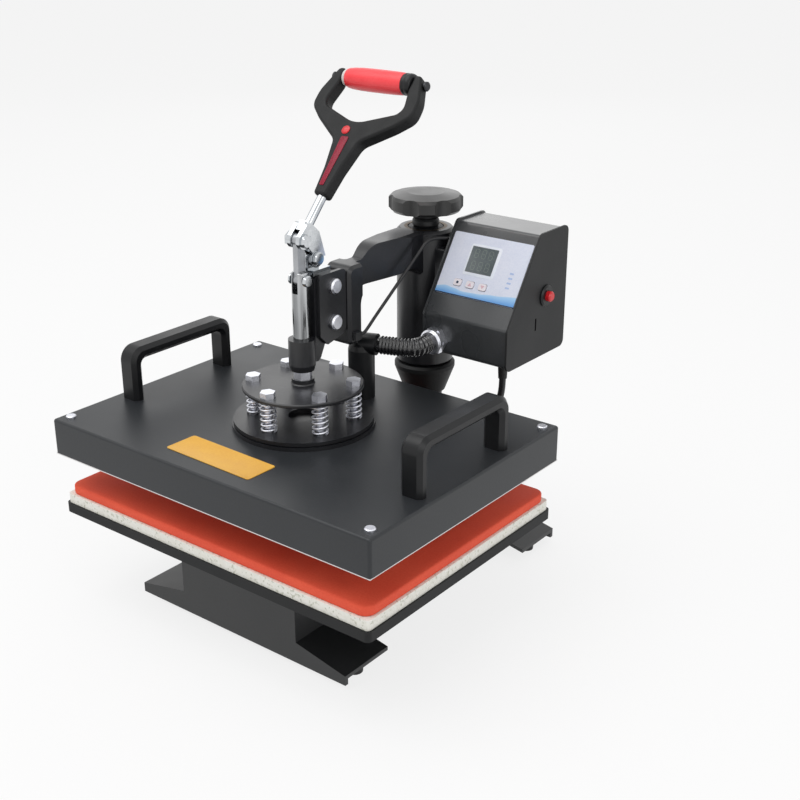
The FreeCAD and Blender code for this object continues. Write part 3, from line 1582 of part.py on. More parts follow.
def build():
    """Every node of the machine, by name."""
    pieces = {
        "base_beam": make_base_beam(),
        "front_foot": make_foot(base_front, 1),
        "rear_foot": make_foot(base_back, -1),
        "rubber_feet": make_rubber_feet(),
        "column_flange": make_column_flange(),
        "column_post": make_column_post(),
        "thrust_collar": make_thrust_collar(),
        "base_bolts": make_base_bolts(),
        "lower_tray": make_lower_tray(),
        "insulation_board": platen_block(board_w, board_d, z_tray_top, z_board_top, board_corner),
        "silicone_pad": make_silicone_pad(),
        "swing_arm": make_swing_arm(),
        "arm_bushes": make_arm_bushes(),
        "toggle_bracket": make_toggle_bracket(),
        "bracket_bolts": make_bracket_bolts(),
        "pivot_lug": make_pivot_lug(),
        "pivot_bolt": cross_pin(pivot_y, pivot_z, seat_gap),
        "box_wrap": make_box_wrap(),
        "box_side_left": make_box_side(box_x0),
        "box_side_right": make_box_side(box_x1 - side_t),
        "box_bracket": make_box_bracket(),
        "panel_overlay": make_panel_overlay(),
        "display_window": make_display_window(),
        "circuit_board": make_circuit_board(),
        "button_bezel": make_button_bezel(),
        "power_button": make_power_button(),
        "hose_gland": make_hose_gland(),
        "strain_relief": make_strain_relief(),
        "sensor_cable": make_sensor_cable(),
        "plunger": make_plunger(),
        "clevis_pins": make_clevis_pins(),
        "plunger_tip": make_plunger_tip(),
        "pressure_plate": make_pressure_plate(),
        "spring_bolts": make_spring_bolts(),
        "springs": make_springs(),
        "platen_disc": make_platen_disc(),
        "heater_cover": make_heater_cover(),
        "cover_screws": make_cover_screws(),
        "heat_plate": make_heat_plate(),
        "heating_element": make_heating_element(),
        "insulation_blanket": make_insulation_blanket(),
        "side_handle_left": make_side_handle(-1),
        "side_handle_right": make_side_handle(1),
        "hose_elbow": make_hose_elbow(),
        "cable_hose": make_cable_hose(),
        "toggle_link": make_toggle_link(),
        "lever_fork": make_lever_fork(),
        "lever_rod": make_lever_rod(),
        "lever_handle": make_lever_handle(),
        "grip_sleeve": make_grip_sleeve(),
        "grip_bolt": make_grip_bolt(),
        "crank_pin": cross_pin(0, crank_z, 0),
        "pressure_knob": make_pressure_knob(),
        "knob_screw": make_knob_screw(),
        "power_cord": route_tube(cord_route(), cord_r, "mains cord"),
        "cord_coil": make_cord_coil(),
        "mains_plug": make_mains_plug(),
    }
    for index in range(key_count):
        pieces["key_" + str(index + 1)] = make_key(index)
    return pieces


os.makedirs("parts", exist_ok=True)
for name, shape in build().items():
    shape.exportStep("parts/" + name + ".step")
    if not shape.isValid():
        print("not valid:", name)
    if any(solid.Volume <= 0 for solid in shape.Solids) or not shape.Solids:
        print("no solid:", name)
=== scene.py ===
# %% [markdown]
# # A swing-away heat press
# The machine presses printed transfers onto cloth. A padded lower platen stands on a folded steel
# base. An arm on a column carries a heated platen, which a toggle lever pushes down.
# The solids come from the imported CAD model, which stays fixed. Blender adds finishes, cords and
# the small pieces that a solid model leaves plain. Lengths are metres, in the CAD model's own frame.

# %% Load the fixed frame
import math

import bmesh
import bpy
from mathutils import Matrix, Vector


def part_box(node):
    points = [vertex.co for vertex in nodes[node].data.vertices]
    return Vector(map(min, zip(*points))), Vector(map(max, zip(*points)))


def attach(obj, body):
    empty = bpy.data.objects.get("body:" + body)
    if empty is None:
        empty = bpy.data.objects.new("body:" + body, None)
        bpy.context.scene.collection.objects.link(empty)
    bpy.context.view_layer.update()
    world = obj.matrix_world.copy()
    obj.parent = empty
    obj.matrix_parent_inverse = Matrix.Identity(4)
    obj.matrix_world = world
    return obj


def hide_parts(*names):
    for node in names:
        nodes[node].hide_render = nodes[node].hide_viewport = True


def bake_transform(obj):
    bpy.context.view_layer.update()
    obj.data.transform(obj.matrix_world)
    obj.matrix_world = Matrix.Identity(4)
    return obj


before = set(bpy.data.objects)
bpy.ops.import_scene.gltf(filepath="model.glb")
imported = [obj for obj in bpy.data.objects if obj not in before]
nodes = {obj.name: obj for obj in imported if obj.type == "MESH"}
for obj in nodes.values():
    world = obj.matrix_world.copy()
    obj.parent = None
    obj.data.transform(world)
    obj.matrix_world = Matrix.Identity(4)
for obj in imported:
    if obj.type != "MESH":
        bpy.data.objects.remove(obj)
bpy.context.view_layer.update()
scene = bpy.context.scene
mm = 0.001

# %% [markdown]
# ## The camera
# The viewing angle was worked out from the edges of the heater cover, which is a plain box: 38 degrees
# to the right of the front and 22 degrees down, through a lens of about 56 mm. A camera is
# turned by tracking its view direction, which leaves no roll.

# %% Camera
camera_data = bpy.data.cameras.new("camera")
camera_data.sensor_fit = "HORIZONTAL"
camera_data.sensor_width = 36.0
camera_data.lens = 56.25
camera = bpy.data.objects.new("camera", camera_data)
scene.collection.objects.link(camera)
camera.location = (0.75763, -0.87803, 0.67882)
looking = Vector((-0.5675, 0.7299, -0.3811))
camera.rotation_euler = looking.to_track_quat("-Z", "Y").to_euler()
scene.camera = camera
print("camera at", camera.location[:])

# %% [markdown]
# ## Colours and shader nodes
# Colours are written as sRGB hex codes, the way a picture editor shows them. The shader works in linear
# light, so one function converts them. A second function adds a shader node, sets it and links it, which
# keeps every finish below readable as a list of steps.

# %% Two helpers for finishes
def linear(code):
    """An sRGB hex colour as linear red, green, blue and alpha."""
    parts = [int(code[i:i + 2], 16) / 255 for i in (0, 2, 4)]
    bent = [c / 12.92 if c <= 0.04045 else ((c + 0.055) / 1.055) ** 2.4 for c in parts]
    return (*bent, 1.0)


def add(tree, kind, values=None, links=None, **settings):
    """Add a shader node, set its properties and input values, and link its inputs."""
    node = tree.nodes.new(kind)
    for name, value in settings.items():
        setattr(node, name, value)
    for name, value in (values or {}).items():
        node.inputs[name].default_value = value
    for name, socket in (links or {}).items():
        tree.links.new(socket, node.inputs[name])
    return node


# %% [markdown]
# ## The studio
# The machine stands on a plain white floor under one large soft lamp, with even light from all round. A
# weak lamp behind gives the tops of the painted pieces their sheen, and one at the right lifts that side.
# Light Path tells a ray that the camera or a shiny surface sends out from one that only gathers
# light. Air and floor look nearly white to the first kind, so plated metal mirrors a white room, while the
# object gets no more light than before. The floor keeps a share of plain paper, on which the shadow lies.

# %% Air and floor
air_light, air_seen, floor_glow = 0.55, 0.96, 0.8
floor_size, white = 24, (1, 1, 1, 1)


def looked_at(tree):
    """1 for a ray from the camera, a shiny surface or glass, and 0 for one that gathers light."""
    rays = add(tree, "ShaderNodeLightPath").outputs
    shiny = add(tree, "ShaderNodeMath", links={0: rays["Is Glossy Ray"], 1: rays["Is Transmission Ray"]},
                operation="MAXIMUM")
    return add(tree, "ShaderNodeMath", links={0: rays["Is Camera Ray"], 1: shiny.outputs[0]},
               operation="MAXIMUM").outputs[0]


world = bpy.data.worlds.new("studio_air")
scene.world = world
world.use_nodes = True
tree = world.node_tree
tree.nodes.clear()
strength = add(tree, "ShaderNodeMath", values={1: air_seen - air_light, 2: air_light},
               links={0: looked_at(tree)}, operation="MULTIPLY_ADD")
air = add(tree, "ShaderNodeBackground", values={"Color": white}, links={"Strength": strength.outputs[0]})
add(tree, "ShaderNodeOutputWorld", links={"Surface": air.outputs[0]})

bpy.ops.object.select_all(action="DESELECT")
bpy.ops.mesh.primitive_plane_add(size=floor_size)
floor = bpy.context.object
floor.name = "floor"
paper = bpy.data.materials.new("matt_white_paper")
paper.use_nodes = True
tree = paper.node_tree
tree.nodes.clear()
glow = add(tree, "ShaderNodeEmission", values={"Color": white, "Strength": 1.0})
matt = add(tree, "ShaderNodeBsdfDiffuse", values={"Color": linear("F6F6F6")})
share = add(tree, "ShaderNodeMath", values={1: floor_glow}, links={0: looked_at(tree)}, operation="MULTIPLY")
both = add(tree, "ShaderNodeMixShader", links={0: share.outputs[0], 1: matt.outputs[0], 2: glow.outputs[0]})
add(tree, "ShaderNodeOutputMaterial", links={"Surface": both.outputs[0]})
floor.data.materials.append(paper)

# %% Lamps
# Each lamp has a place and a width in metres, and a power in watts.
lamp_aim = Vector((0, 0, 0.2))
lamps = {"top_softbox": ((-0.5, -0.7, 2.4), 2.2, 30), "side_softbox": ((2.2, -0.6, 1.3), 1.4, 9),
         "back_softbox": ((-1.7, 2.3, 1.4), 1.6, 4)}
for name, (place, size, power) in lamps.items():
    lamp = bpy.data.lights.new(name, "AREA")
    lamp.size = size
    lamp.energy = power
    holder = bpy.data.objects.new(name, lamp)
    scene.collection.objects.link(holder)
    holder.location = place
    holder.visible_camera = False
    holder.rotation_euler = (lamp_aim - Vector(place)).to_track_quat("-Z", "Y").to_euler()
print("lamps", list(lamps))

# %% [markdown]
# ## Finishes with a grain
# Most surfaces here are paint, moulded plastic, rubber or plated steel. Each has a base colour, a fine
# grain that makes it uneven, and wide soft patches from handling. One function makes them all
# from real sizes: the grain in millimetres, how deep it is, and how the roughness swings. Grains finer
# than about 2 mm would not show at this picture size, so they are drawn a little coarser.

# %% A grained finish
noise_low, noise_high = 0.3, 0.7  # nearly all of a noise lies between these


def grained(name, dark, light, grain, rough, depth, metallic=0.0, patch=40.0, stretch=(1, 1, 1), **sockets):
    """A finish whose colour and roughness vary with a grain, and with wide patches, sizes in mm."""
    finish = bpy.data.materials.new(name)
    finish.use_nodes = True
    tree = finish.node_tree
    shader = tree.nodes["Principled BSDF"]
    place = add(tree, "ShaderNodeTexCoord").outputs["Object"]
    turned = add(tree, "ShaderNodeMapping", values={"Scale": stretch}, links={"Vector": place}).outputs[0]
    fine = add(tree, "ShaderNodeTexNoise", links={"Vector": turned},
               values={"Scale": 1 / (grain * mm), "Detail": 3.0, "Roughness": 0.6})
    wide = add(tree, "ShaderNodeTexNoise", values={"Scale": 1 / (patch * mm), "Detail": 2.0},
               links={"Vector": place})
    both = add(tree, "ShaderNodeMix", values={0: 0.5}, links={2: fine.outputs[0], 3: wide.outputs[0]},
               data_type="FLOAT")
    spread = add(tree, "ShaderNodeMapRange", values={1: noise_low, 2: noise_high}, links={0: both.outputs[0]})
    tone = add(tree, "ShaderNodeMix", values={6: linear(dark), 7: linear(light)},
               links={0: spread.outputs[0]}, data_type="RGBA")
    rough_map = add(tree, "ShaderNodeMapRange", links={0: wide.outputs[0]},
                    values={1: noise_low, 2: noise_high, 3: rough[0], 4: rough[1]})
    dents = add(tree, "ShaderNodeBump", values={"Strength": 1.0, "Distance": depth * mm},
                links={"Height": fine.outputs[0]})
    tree.links.new(tone.outputs[2], shader.inputs["Base Color"])
    tree.links.new(rough_map.outputs[0], shader.inputs["Roughness"])
    tree.links.new(dents.outputs[0], shader.inputs["Normal"])
    shader.inputs["Metallic"].default_value = metallic
    for socket, value in sockets.items():
        shader.inputs[socket.replace("_", " ")].default_value = value
    return finish


# %% [markdown]
# ## The finishes of the machine
# Powder coat is sprayed paint baked on steel: nearly black, satin, with a faint orange peel. Handles, knob
# and elbow are moulded nylon, a little softer in shine. Bolts and springs are zinc plated, the plunger and
# lever are chrome plated, and the plunger's chrome has painted dark reflections streaked along it. The pad
# is silicone sponge, and the cords are PVC.

# %% Painted, plated and moulded finishes
cover_coat = grained("satin_powder_coat", "24272A", "2D2F32", 2.2, (0.34, 0.42), 0.04, patch=70,
                     Specular_IOR_Level=0.4)
base_coat = grained("base_powder_coat", "1E1F20", "272829", 2.2, (0.36, 0.46), 0.05, patch=60)
tray_coat = grained("matt_powder_coat", "111213", "191A1B", 2.2, (0.5, 0.6), 0.05, patch=60,
                    Specular_IOR_Level=0.3)
cast_coat = grained("coated_casting", "121316", "1A1B1F", 3.0, (0.3, 0.4), 0.07, patch=35, Coat_Weight=0.2,
                    Coat_Roughness=0.25)
post_coat = grained("black_phosphate", "141517", "1B1C1E", 2.0, (0.4, 0.5), 0.03, patch=25)
wrap_coat = grained("gloss_powder_coat", "303234", "3A3C3E", 2.0, (0.26, 0.34), 0.03, patch=50,
                    Coat_Weight=0.6, Coat_Roughness=0.22)
# The box's right side gets a darker, matter copy of the box paint: painted shade on that face.
side_coat_painted_shade = grained("box_coat_painted_shade", "1C1D1E", "242526", 2.0, (0.5, 0.6), 0.05, patch=50,
                    Specular_IOR_Level=0.35)
nylon = grained("moulded_nylon", "0F1012", "17181A", 2.0, (0.3, 0.42), 0.06, patch=30,
                Specular_IOR_Level=0.34)
handle_nylon = grained("glass_filled_nylon", "0F1011", "1A1B1C", 2.0, (0.5, 0.62), 0.08, patch=18,
                       Specular_IOR_Level=0.3)
knob_nylon = grained("knob_nylon", "1A1A1A", "232322", 2.4, (0.3, 0.4), 0.05, patch=20, Coat_Weight=0.2,
                     Coat_Roughness=0.3)
soft_black = grained("black_rubber", "131314", "1B1B1C", 2.0, (0.55, 0.68), 0.06, patch=20)
hose_black = grained("glossy_hose", "121214", "1A1A1C", 2.0, (0.16, 0.24), 0.01, patch=15, Coat_Weight=1.0,
                     Coat_Roughness=0.15)
cord_black = grained("pvc_sheath", "141415", "1D1D1F", 2.0, (0.42, 0.52), 0.03, patch=25)
zinc = grained("bright_zinc_plate", "D6D8E2", "F2F3F8", 2.4, (0.3, 0.4), 0.003, metallic=1.0, patch=14)
dark_zinc = grained("black_zinc_plate", "3A3B3D", "4A4B4D", 2.0, (0.3, 0.4), 0.02, metallic=1.0, patch=10)
chrome = grained("chrome_plate", "B6BABE", "DCDFE1", 3.0, (0.05, 0.12), 0.002, metallic=1.0, patch=30)
# The plunger's chrome runs from near black to bright in streaks along its length: painted reflections of dark
# surroundings.
chrome_painted_reflections = grained("chrome_painted_reflections", "1E2022", "DCDEE0", 5.0, (0.1, 0.18), 0.002, metallic=1.0, patch=70,
                       stretch=(1, 1, 0.02))
steel = grained("ground_steel", "9C9EA1", "BCBEC1", 2.0, (0.28, 0.4), 0.02, metallic=1.0, patch=15,
                stretch=(1, 1, 6))
bronze = grained("oiled_bronze", "4A3A24", "5E4A2E", 2.0, (0.36, 0.46), 0.02, metallic=1.0, patch=15)
alloy = grained("milled_aluminium", "CFCDCD", "E6E3E2", 2.0, (0.3, 0.4), 0.03, metallic=1.0, patch=30,
                stretch=(1, 8, 1))
sponge = grained("silicone_sponge", "E24C30", "F06042", 2.0, (0.7, 0.82), 0.12, patch=45)
grip_red = grained("red_soft_grip", "F83840", "FF5056", 2.0, (0.32, 0.42), 0.04, patch=20)
inlay_red = grained("red_inlay", "7A0F26", "A82440", 2.0, (0.3, 0.38), 0.005, patch=26,
                    Specular_IOR_Level=0.25)
button_red = grained("red_polycarbonate", "D01823", "DE2A30", 3.0, (0.18, 0.24), 0.01, patch=10)
pale_collar = grained("clear_nylon_collar", "D6CFCB", "E6E0DC", 2.0, (0.35, 0.45), 0.01, patch=8)
wool = grained("ceramic_fibre", "E4E1D8", "F2F0EA", 2.0, (0.85, 0.95), 0.4, patch=20)
key_film = grained("printed_key_film", "E4DDE4", "F2ECF0", 2.0, (0.35, 0.45), 0.02, patch=8)
laminate = grained("solder_mask", "1D5B38", "26704A", 2.0, (0.35, 0.45), 0.02, patch=15)
display_glass = grained("dark_display", "565E60", "687072", 2.0, (0.14, 0.2), 0.0, patch=9)
panel_film = grained("printed_panel_film", "D2D8EA", "E4E7F3", 2.0, (0.34, 0.42), 0.01, patch=30)
fibre_board = grained("fibre_board", "ECEADF", "F8F7F1", 2.2, (0.8, 0.9), 0.15, patch=9)
amber = grained("amber_printed_plate", "E3A531", "EDB746", 2.0, (0.35, 0.45), 0.02, patch=14)

# %% [markdown]
# ## Flecks in the fibre board
# The board under the pad is pressed mineral fibre, off-white with small olive flecks along its cut edge.
# The flecks are the peaks of a noise about 3 mm wide: a narrow range is cut out of it and mixed in.

# %% Flecks
fleck_wide, fleck_from, fleck_full, fleck_share = 3 * mm, 0.58, 0.7, 0.5
tree = fibre_board.node_tree
board_shader = tree.nodes["Principled BSDF"]
board_tone = board_shader.inputs["Base Color"].links[0].from_socket
place = add(tree, "ShaderNodeTexCoord").outputs["Object"]
peaks = add(tree, "ShaderNodeTexNoise", values={"Scale": 1 / fleck_wide, "Detail": 1.0},
            links={"Vector": place})
flecks = add(tree, "ShaderNodeMapRange", values={1: fleck_from, 2: fleck_full, 4: fleck_share},
             links={0: peaks.outputs[0]})
flecked = add(tree, "ShaderNodeMix", values={7: linear("A8AB92")},
              links={0: flecks.outputs[0], 6: board_tone}, data_type="RGBA")
tree.links.new(flecked.outputs[2], board_shader.inputs["Base Color"])

# %% [markdown]
# ## Which piece has which finish
# Every CAD solid that no new piece replaces gets one of the finishes above.

# %% Finishes on the CAD solids
finishes = {
    cover_coat: ["heater_cover"],
    base_coat: ["base_beam", "front_foot", "rear_foot", "column_flange"],
    tray_coat: ["lower_tray", "thrust_collar"],
    cast_coat: ["swing_arm", "toggle_bracket", "platen_disc", "pressure_plate", "box_bracket"],
    post_coat: ["column_post", "knob_screw"],
    wrap_coat: ["box_wrap", "box_side_left"],
    side_coat_painted_shade: ["box_side_right"],
    nylon: ["side_handle_left", "side_handle_right", "button_bezel", "hose_elbow", "mains_plug"],
    handle_nylon: ["lever_handle"],
    knob_nylon: ["pressure_knob"],
    soft_black: ["rubber_feet", "strain_relief"],
    zinc: ["base_bolts", "bracket_bolts", "spring_bolts", "plunger_tip", "cover_screws", "hose_gland"],
    dark_zinc: ["grip_bolt"],
    chrome: ["clevis_pins", "pivot_lug", "lever_fork", "lever_rod", "crank_pin", "pivot_bolt"],
    chrome_painted_reflections: ["plunger"],
    steel: ["toggle_link", "heating_element"],
    bronze: ["arm_bushes"],
    alloy: ["heat_plate"],
    button_red: ["power_button"],
    wool: ["insulation_blanket"],
    key_film: ["key_1", "key_2", "key_3"],
    laminate: ["circuit_board"],
    display_glass: ["display_window"],
    panel_film: ["panel_overlay"],
    fibre_board: ["insulation_board"],
}
for finish, names in finishes.items():
    for name in names:
        nodes[name].data.materials.clear()
        nodes[name].data.materials.append(finish)
print(len(finishes), "finishes on CAD nodes")

# %% [markdown]
# ## The mains cord
# A 7 mm PVC lead leaves the control box downwards through its strain relief, drops behind the lower
# platen to the table and lies in a put-away coil behind the base. A cord is one smooth NURBS line: it
# cuts the corners of its control points, as a real cord does. The line becomes a tube.

# %% Cord line and tube
def cord_line(name, points):
    """An open NURBS line through a cord's route, with the points that it really follows."""
    line = bpy.data.curves.new(name, "CURVE")
    line.dimensions = "3D"
    line.resolution_u = 6
    spline = line.splines.new("NURBS")
    spline.points.add(len(points) - 1)
    for point, place in zip(spline.points, points):
        point.co = (*place, 1.0)
    spline.order_u = 3
    spline.use_endpoint_u = True
    piece = bpy.data.objects.new(name, line)
    scene.collection.objects.link(piece)
    bpy.context.view_layer.update()
    followed = [vertex.co.copy() for vertex in bpy.data.meshes.new_from_object(piece).vertices]
    return piece, followed


def as_tube(line, radius, rings):
    """Give a curve a round section, its radius in mm, and closed ends."""
    line.bevel_depth = radius * mm
    line.bevel_resolution = rings
    line.use_fill_caps = True


def as_mesh(piece):
    """Turn a curve into a mesh of its own."""
    bpy.ops.object.select_all(action="DESELECT")
    piece.select_set(True)
    bpy.context.view_layer.objects.active = piece
    bpy.ops.object.convert(target="MESH")
    return bpy.context.object


def length_of(points):
    """How long the line through these points is."""
    return sum((b - a).length for a, b in zip(points, points[1:]))


cord_route = [(113, 121, 215), (113, 121, 204), (109.6, 122, 190), (103.5, 126, 165), (98.5, 134, 139),
              (95, 146, 113), (93, 160, 87), (90, 176, 63), (86, 194, 41.5), (80, 211.5, 23.5),
              (71, 226.5, 10.7), (60, 237, 4.8), (47.5, 244.4, 3.6), (38.3, 253.5, 3.6),
              (31.7, 264.6, 3.6), (28, 277, 3.6)]
coil_centre, coil_out, coil_pitch, layer_turns, coil_steps = (-21, 298), 48.5, 7.7, 2.5, 16
low_layer, climb_turns = 3.6, 0.5
mains_radius, plug_runs = 3.5, (10, 18)
pull_in = math.cos(math.pi / coil_steps)  # the line runs inside its control points by this share


def coil_point(turn):
    """A control point of the coil: in along the table, up one layer, and out again on top."""
    inner = coil_out - coil_pitch * layer_turns
    share = min(max((turn - layer_turns) / climb_turns, 0), 1)
    if turn <= layer_turns:
        radius = coil_out - coil_pitch * turn
    elif share < 1:
        radius = inner - coil_pitch * climb_turns * share * (1 - share)
    else:
        radius = inner + coil_pitch * (turn - layer_turns - climb_turns)
    angle = 2 * math.pi * turn
    return (coil_centre[0] + radius / pull_in * math.cos(angle),
            coil_centre[1] + radius / pull_in * math.sin(angle),
            low_layer + coil_pitch * (1 - math.cos(math.pi * share)) / 2)


coil_turns = 2 * layer_turns + climb_turns
coil_route = [coil_point(step / coil_steps) for step in range(int(coil_turns * coil_steps) + 1)]
end_y, end_z = coil_route[-1][1:]
cord_end = [(coil_centre[0] - coil_out, end_y - run, end_z) for run in plug_runs]
mains_points = [Vector(p) * mm for p in cord_route + coil_route + cord_end]
mains_cord, mains_path = cord_line("mains_cord", mains_points)
as_tube(mains_cord.data, mains_radius, rings=4)
mains_cord = as_mesh(mains_cord)
mains_cord.data.materials.append(cord_black)
bpy.ops.object.shade_smooth()
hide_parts("power_cord", "cord_coil")
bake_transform(mains_cord)

# %% [markdown]
# ## The sensor cable
# A thin cable brings the sensor's reading back to the control box. It is stretched along the arm, from a
# grommet in the box to a clip on the arm's leg. The photograph shows its long run straight, so two
# more control points hold that run.

# %% Sensor cable
sensor_route = [(35.5, 141, 345), (35.5, 133.5, 345), (33.2, 125.5, 346.8), (29.8, 116.5, 348.3),
                (26, 107, 346.5), (25.2, 99, 339.8), (19.2, 38.6, 289.6), (18.4, 30, 282.5),
                (18.1, 21, 275.3), (18.1, 15.5, 272), (18.1, 10, 272)]
sensor_radius = 1.7
sensor_points = [Vector(p) * mm for p in sensor_route]
sensor, sensor_path = cord_line("sensor_lead", sensor_points)
as_tube(sensor.data, sensor_radius, rings=3)
sensor.data.materials.append(cord_black)
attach(sensor, "arm")
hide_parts("sensor_cable")
print("sensor cable", round(length_of(sensor_path), 3), "m")

# %% [markdown]
# ## Modelling helpers
# The new pieces are made as by hand: a primitive is added, then faces or edges are picked by their place
# and extruded, inset, bevelled or spun. The helpers pick parts of a mesh in edit mode, and finish a piece:
# its place goes into its mesh, its normals point outwards, and it rides on a body of the machine.

# %% Helpers
def begin(name, operator, **settings):
    """Add a primitive with nothing else selected, and name it."""
    bpy.ops.object.select_all(action="DESELECT")
    operator(**settings)
    piece = bpy.context.object
    piece.name = name
    piece.data.name = name
    return piece


def pick(piece, kind, wanted):
    """Select in edit mode the vertices, edges or faces that are wanted, and nothing else."""
    bpy.ops.mesh.select_mode(type={"verts": "VERT", "edges": "EDGE", "faces": "FACE"}[kind])
    bpy.ops.mesh.select_all(action="DESELECT")
    mesh = bmesh.from_edit_mesh(piece.data)
    for item in getattr(mesh, kind):
        item.select_set(bool(wanted(item)))
    mesh.select_flush_mode()
    bmesh.update_edit_mesh(piece.data)


def lies_along(edge, axis):
    """Whether an edge runs along an axis: 0, 1 or 2."""
    way = edge.verts[1].co - edge.verts[0].co
    return abs(way[axis]) > 0.99 * way.length


def looks_up(face):
    """Whether a face looks upwards."""
    return face.normal.z > 0.9


def is_sharp(edge):
    """Whether two faces meet at a clear angle, over one radian, along an edge."""
    return edge.calc_face_angle(0) > 1.0


def complete(piece, body, finish, replaces=(), smooth=35):
    """Put a piece's place into its mesh, close its normals, and give it its finish and body."""
    bpy.ops.object.select_all(action="DESELECT")
    piece.select_set(True)
    bpy.context.view_layer.objects.active = piece
    bpy.ops.object.transform_apply(location=True, rotation=True, scale=True)
    bpy.ops.object.mode_set(mode="EDIT")
    bpy.ops.mesh.select_all(action="SELECT")
    bpy.ops.mesh.remove_doubles(threshold=1e-6)
    bpy.ops.mesh.normals_make_consistent(inside=False)
    bpy.ops.object.mode_set(mode="OBJECT")
    bpy.ops.object.shade_smooth_by_angle(angle=math.radians(smooth))
    piece.data.materials.clear()
    piece.data.materials.append(finish)
    if body:
        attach(piece, body)
    if replaces:
        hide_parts(*replaces)
    print(piece.name, len(piece.data.polygons), "faces")
    return piece


def in_metres(profile):
    """A profile that is given in mm."""
    return [(along * mm, radius * mm) for along, radius in profile]


def turned_piece(name, profile, centre, axis, steps=48):
    """A piece spun from a profile of (place along the axis, radius), about an axis through centre."""
    piece = begin(name, bpy.ops.mesh.primitive_plane_add, size=1)
    bpy.ops.object.mode_set(mode="EDIT")
    bpy.ops.mesh.delete(type="VERT")
    mesh = bmesh.from_edit_mesh(piece.data)
    across = Vector((0, 0, 1)) if abs(axis.z) < 0.9 else Vector((0, 1, 0))
    across = (across - axis * across.dot(axis)).normalized()
    chain = [mesh.verts.new(Vector(centre) + axis * along + across * radius) for along, radius in profile]
    for first, second in zip(chain, chain[1:]):
        mesh.edges.new((first, second))
    bmesh.update_edit_mesh(piece.data)
    bpy.ops.mesh.select_all(action="SELECT")
    bpy.ops.mesh.spin(steps=steps, angle=2 * math.pi, center=centre, axis=axis)
    bpy.ops.object.mode_set(mode="OBJECT")
    return piece


def repeated(piece, places):
    """Copy a piece, each copy with its own mesh, to every place, and join them all."""
    pieces = [piece]
    for _ in places[1:]:
        copy = piece.copy()
        copy.data = piece.data.copy()
        scene.collection.objects.link(copy)
        pieces.append(copy)
    bpy.ops.object.select_all(action="DESELECT")
    for item, place in zip(pieces, places):
        item.matrix_world = place
        item.select_set(True)
    bpy.context.view_layer.objects.active = piece
    bpy.ops.object.join()
    return piece


def flat_patch(name, width, height, corner, thick):
    """A thin plate with round corners, drawn flat about the origin, sizes in mm."""
    piece = begin(name, bpy.ops.mesh.primitive_plane_add, size=1)
    piece.scale = (width * mm, height * mm, 1)
    bpy.ops.object.transform_apply(location=False, rotation=False, scale=True)
    bpy.ops.object.mode_set(mode="EDIT")
    bpy.ops.mesh.select_all(action="SELECT")
    bpy.ops.mesh.bevel(offset=corner * mm, segments=5, affect="VERTICES")
    bpy.ops.mesh.select_all(action="SELECT")
    bpy.ops.mesh.extrude_region_move(TRANSFORM_OT_translate={"value": (0, 0, thick * mm)})
    bpy.ops.object.mode_set(mode="OBJECT")
    return piece


# %% [markdown]
# ## The silicone pad
# The lower platen carries a 10 mm sheet of red silicone sponge. It is cut with rounded corners, and its
# edges are soft. A cube is brought to size, and its upright edges are bevelled round. The top is inset, so
# that it lies a little lower along its edge than in the middle, and then the rims are bevelled.

# %% Silicone pad
pad_low, pad_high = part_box("silicone_pad")
pad_size = pad_high - pad_low
pad_corner, pad_edge, rim_drop, rim_wide = 11 * mm, 1.8 * mm, 0.5 * mm, 7 * mm
pad = begin("silicone_pad_sheet", bpy.ops.mesh.primitive_cube_add, size=1, location=(pad_low + pad_high) / 2)
pad.scale = pad_size
bpy.ops.object.transform_apply(location=True, rotation=True, scale=True)
bpy.ops.object.mode_set(mode="EDIT")
pick(pad, "edges", lambda edge: lies_along(edge, 2))
bpy.ops.mesh.bevel(offset=pad_corner, segments=8, affect="EDGES")
pick(pad, "faces", looks_up)
bpy.ops.transform.translate(value=(0, 0, -rim_drop))
bpy.ops.mesh.inset(thickness=rim_wide)
bpy.ops.transform.translate(value=(0, 0, rim_drop))
pick(pad, "edges", is_sharp)
bpy.ops.mesh.bevel(offset=pad_edge, segments=4, affect="EDGES")
bpy.ops.object.mode_set(mode="OBJECT")
complete(pad, "base", sponge, ["silicone_pad"])

# %% [markdown]
# ## The springs
# Six springs on the disc push the platen back. A spring is a wire wound on a screw line, closed up at both
# ends. One is drawn as a curve with a round section, made a mesh, and copied to its six places.

# %% Springs
spring_radius, wire_radius, spring_low, spring_high = 6.9, 1.0, 204.0, 234.0
spring_turns, steps_per_turn, closed_turns = 6.5, 28, 0.8
end_play, spring_count, first_angle, ring_radius = 0.3, 6, 30, 49
press_axis = (0, -55)


def spring_height(turn):
    """Height of the wire's centre: flat at each end, a steady climb between."""
    climb = spring_high - spring_low - 4 * wire_radius - 2 * end_play
    share = min(max((turn - closed_turns) / (spring_turns - 2 * closed_turns), 0), 1)
    lie = min(turn, closed_turns) + max(turn - spring_turns + closed_turns, 0)
    return spring_low + wire_radius + lie / closed_turns * (wire_radius + end_play) + climb * share


wire = bpy.data.curves.new("coil_springs", "CURVE")
wire.dimensions = "3D"
spline = wire.splines.new("POLY")
count = int(spring_turns * steps_per_turn) + 1
spline.points.add(count - 1)
for step in range(count):
    turn = step / steps_per_turn
    angle = 2 * math.pi * turn
    place = (spring_radius * math.cos(angle), spring_radius * math.sin(angle), spring_height(turn))
    spline.points[step].co = (*(c * mm for c in place), 1.0)
as_tube(wire, wire_radius, rings=2)
first_spring = bpy.data.objects.new("coil_springs", wire)
scene.collection.objects.link(first_spring)
first_spring = as_mesh(first_spring)
spring_places = []
for index in range(spring_count):
    angle = math.radians(first_angle + 360 / spring_count * index)
    x = press_axis[0] + ring_radius * math.cos(angle)
    y = press_axis[1] + ring_radius * math.sin(angle)
    spring_places.append(Matrix.Translation(Vector((x, y, 0)) * mm))
repeated(first_spring, spring_places)
complete(first_spring, "press_head", zinc, ["springs"], smooth=60)
